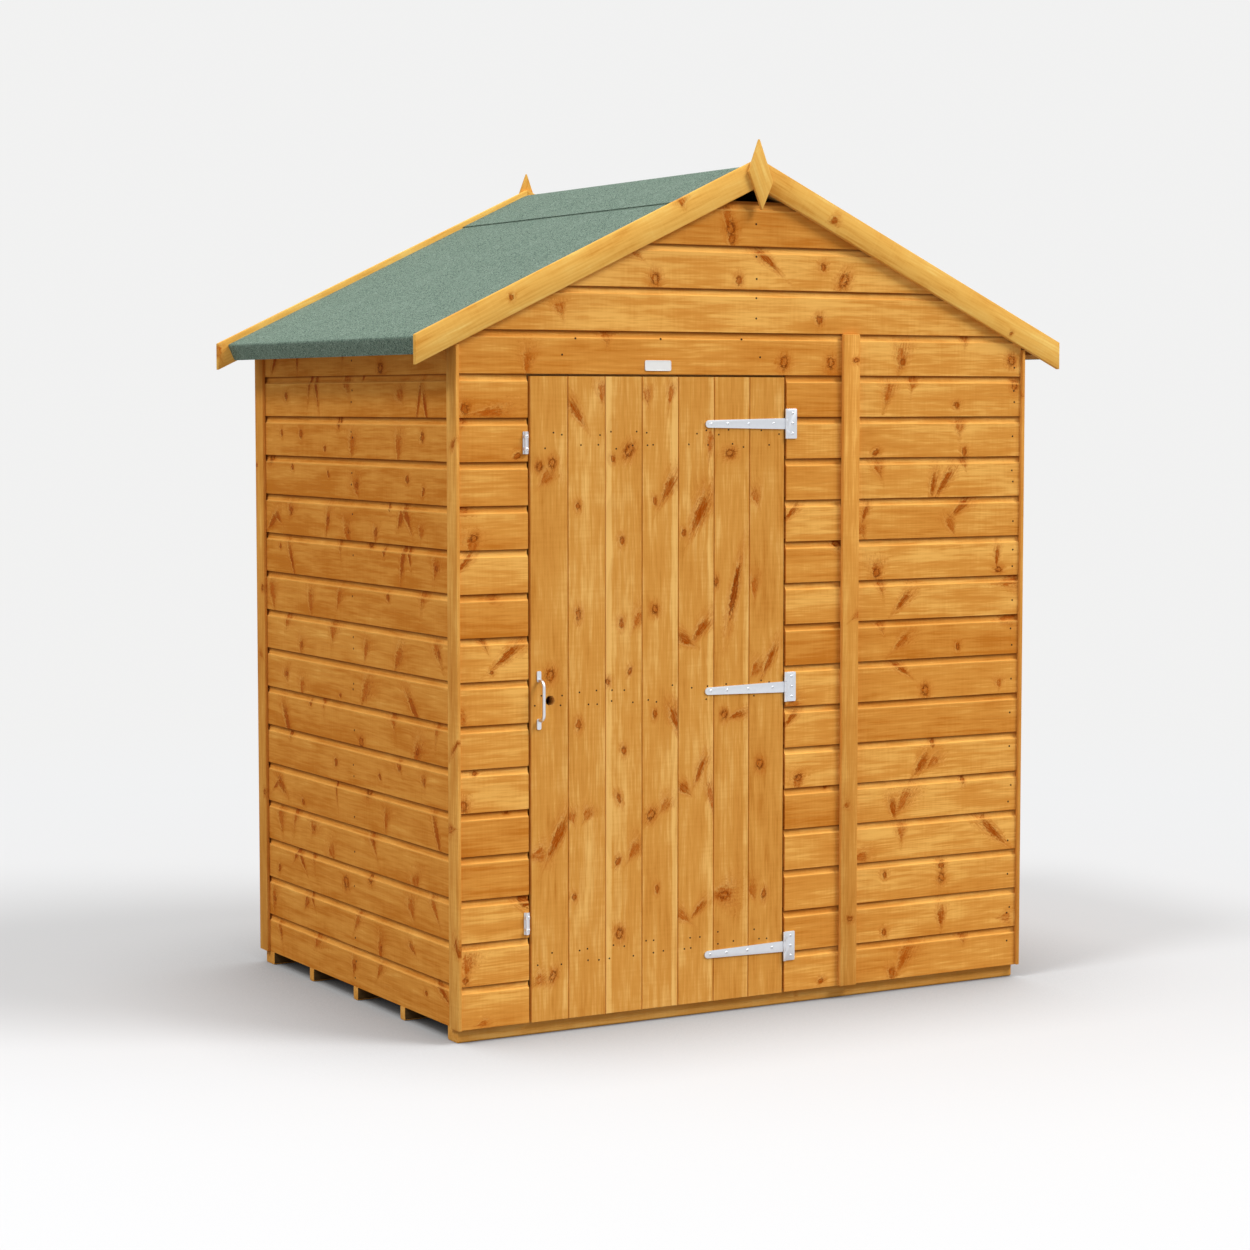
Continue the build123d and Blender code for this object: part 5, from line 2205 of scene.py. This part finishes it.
@dataclass
class Studio:
    """The camera, the pale floor and the soft light."""

    spot: tuple[float, float, float] = (-4.225, -7.317, 1.674)
    tilt: float = 85.60
    heading: float = -29.82
    lens: float = 82.878
    sensor: float = 36.0
    view_end: float = 200.0
    floor_radius: float = 60.0
    floor_sides: int = 96
    floor_rough: float = 0.9
    backdrop: Colour = (0.884, 0.884, 0.882)
    floor_white: Colour = (0.668, 0.674, 0.683)
    floor_back: Colour = (0.568, 0.573, 0.580)
    floor_shade: Colour = (0.045, 0.045, 0.046)
    floor_glow: float = 0.31
    floor_grey: Colour = (0.34, 0.34, 0.335)
    floor_turn: tuple[float, float] = (-2.2, 0.3)
    floor_fade: tuple[float, float] = (2.6, 7.5)
    shade_reach: float = 0.66
    shade_samples: int = 6
    sky_band: Floats = (0.0, 0.85, 0.27, 0.78)
    shine_band: Floats = (-0.1, 0.70, 0.62, 1.15)
    key: float = 2.34
    key_from: tuple[float, float, float] = (0.82, -0.75, 1.10)
    side: float = 1.36
    side_from: tuple[float, float, float] = (-0.65, -0.14, 1.00)
    key_angle: float = 24.0
    side_angle: float = 14.0

    def camera(self) -> None:
        """Sets the camera at the photograph's viewing angle."""
        data = bpy.data.cameras.new("view")
        data.lens = self.lens
        data.sensor_width = self.sensor
        data.clip_end = self.view_end
        camera = bpy.data.objects.new("view", data)
        camera.location = self.spot
        camera.rotation_euler = (math.radians(self.tilt), 0.0, math.radians(self.heading))
        bpy.context.collection.objects.link(camera)
        bpy.context.scene.camera = camera

    def lights(self) -> None:
        """Sets a soft key from the front right, a side light and a sky that brightens upwards."""
        key = ("key", self.key, self.key_from, self.key_angle)
        side = ("side", self.side, self.side_from, self.side_angle)
        for name, energy, way, angle in (key, side):
            data = bpy.data.lights.new(name, "SUN")
            data.energy = energy
            data.angle = math.radians(angle)
            lamp = bpy.data.objects.new(name, data)
            lamp.rotation_euler = Vector(way).to_track_quat("Z", "Y").to_euler()
            bpy.context.collection.objects.link(lamp)
        world = bpy.data.worlds.new("studio")
        world.use_nodes = True
        graph = Graph(world.node_tree)
        shader = world.node_tree.nodes["Background"]
        rays = graph.put("ShaderNodeLightPath").outputs
        _, _, rise = graph.split(graph.put("ShaderNodeTexCoord").outputs["Generated"])
        soft = graph.step(rise, *self.sky_band)
        shine = graph.step(rise, *self.shine_band)
        light = graph.mix(rays["Is Glossy Ray"], soft, shine)
        seen = graph.maths("MAXIMUM", rays["Is Camera Ray"], rays["Is Transmission Ray"])
        graph.feed(shader.inputs["Color"], graph.mix(seen, light, self.backdrop))
        bpy.context.scene.world = world

    def floor(self) -> None:
        """Lays the pale floor, with painted contact shade near the shed, which fades into the backdrop far
        away.
        """
        count = self.floor_sides
        points = [Vector()]
        for i in range(count):
            turn = math.tau * i / count
            points.append(Vector((math.cos(turn), math.sin(turn), 0.0)) * self.floor_radius)
        faces = [[0, i + 1, (i + 1) % count + 1] for i in range(count)]
        mesh = bpy.data.meshes.new("floor")
        mesh.from_pydata([tuple(point) for point in points], [], faces)
        floor = bpy.data.objects.new("floor", mesh)
        floor.rotation_euler.z = math.radians(self.heading)
        bpy.context.collection.objects.link(floor)
        made = bpy.data.materials.new("pale_floor")
        made.use_nodes = True
        graph = Graph(made.node_tree)
        shader = made.node_tree.nodes["Principled BSDF"]
        bounced = graph.put("ShaderNodeLightPath").outputs["Is Diffuse Ray"]
        place = graph.place()
        _, depth, _ = graph.split(place)
        plain = graph.mix(graph.step(depth, *self.floor_turn), self.floor_white, self.floor_back)
        # ambient occlusion darkens the floor's colour near the shed: painted contact shade
        contact_shade = graph.put("ShaderNodeAmbientOcclusion", samples=self.shade_samples)
        contact_shade.inputs["Distance"].default_value = self.shade_reach
        plain = graph.mix(contact_shade.outputs["AO"], self.floor_shade, plain)
        graph.feed(shader.inputs["Base Color"], graph.mix(bounced, plain, self.floor_grey))
        shader.inputs["Roughness"].default_value = self.floor_rough
        shader.inputs["Specular IOR Level"].default_value = 0.0
        glow = graph.put("ShaderNodeEmission", graph.mix(bounced, self.backdrop, self.floor_grey))
        far = graph.put("ShaderNodeVectorMath", place, operation="LENGTH").outputs["Value"]
        near = graph.times(contact_shade.outputs["AO"], self.floor_glow)
        shown = graph.maths("MAXIMUM", graph.step(far, *self.floor_fade), near)
        blend = graph.put("ShaderNodeMixShader", shown, shader.outputs[0], glow.outputs[0])
        graph.feed(made.node_tree.nodes["Material Output"].inputs["Surface"], blend.outputs[0])
        mesh.materials.append(made)

    def build(self) -> None:
        """Sets up the studio."""
        self.camera()
        self.lights()
        self.floor()
        bpy.context.scene.view_settings.view_transform = "Standard"


def main() -> None:
    """Builds the pieces in order."""
    logging.basicConfig(level=logging.INFO, format="%(name)s: %(message)s")
    for assembly in (Cladding(), Frame(), Roof(), Edging(), DoorLeaf(), Fittings(), Studio()):
        assembly.build()
    bpy.context.view_layer.update()


if __name__ == "__main__":
    main()
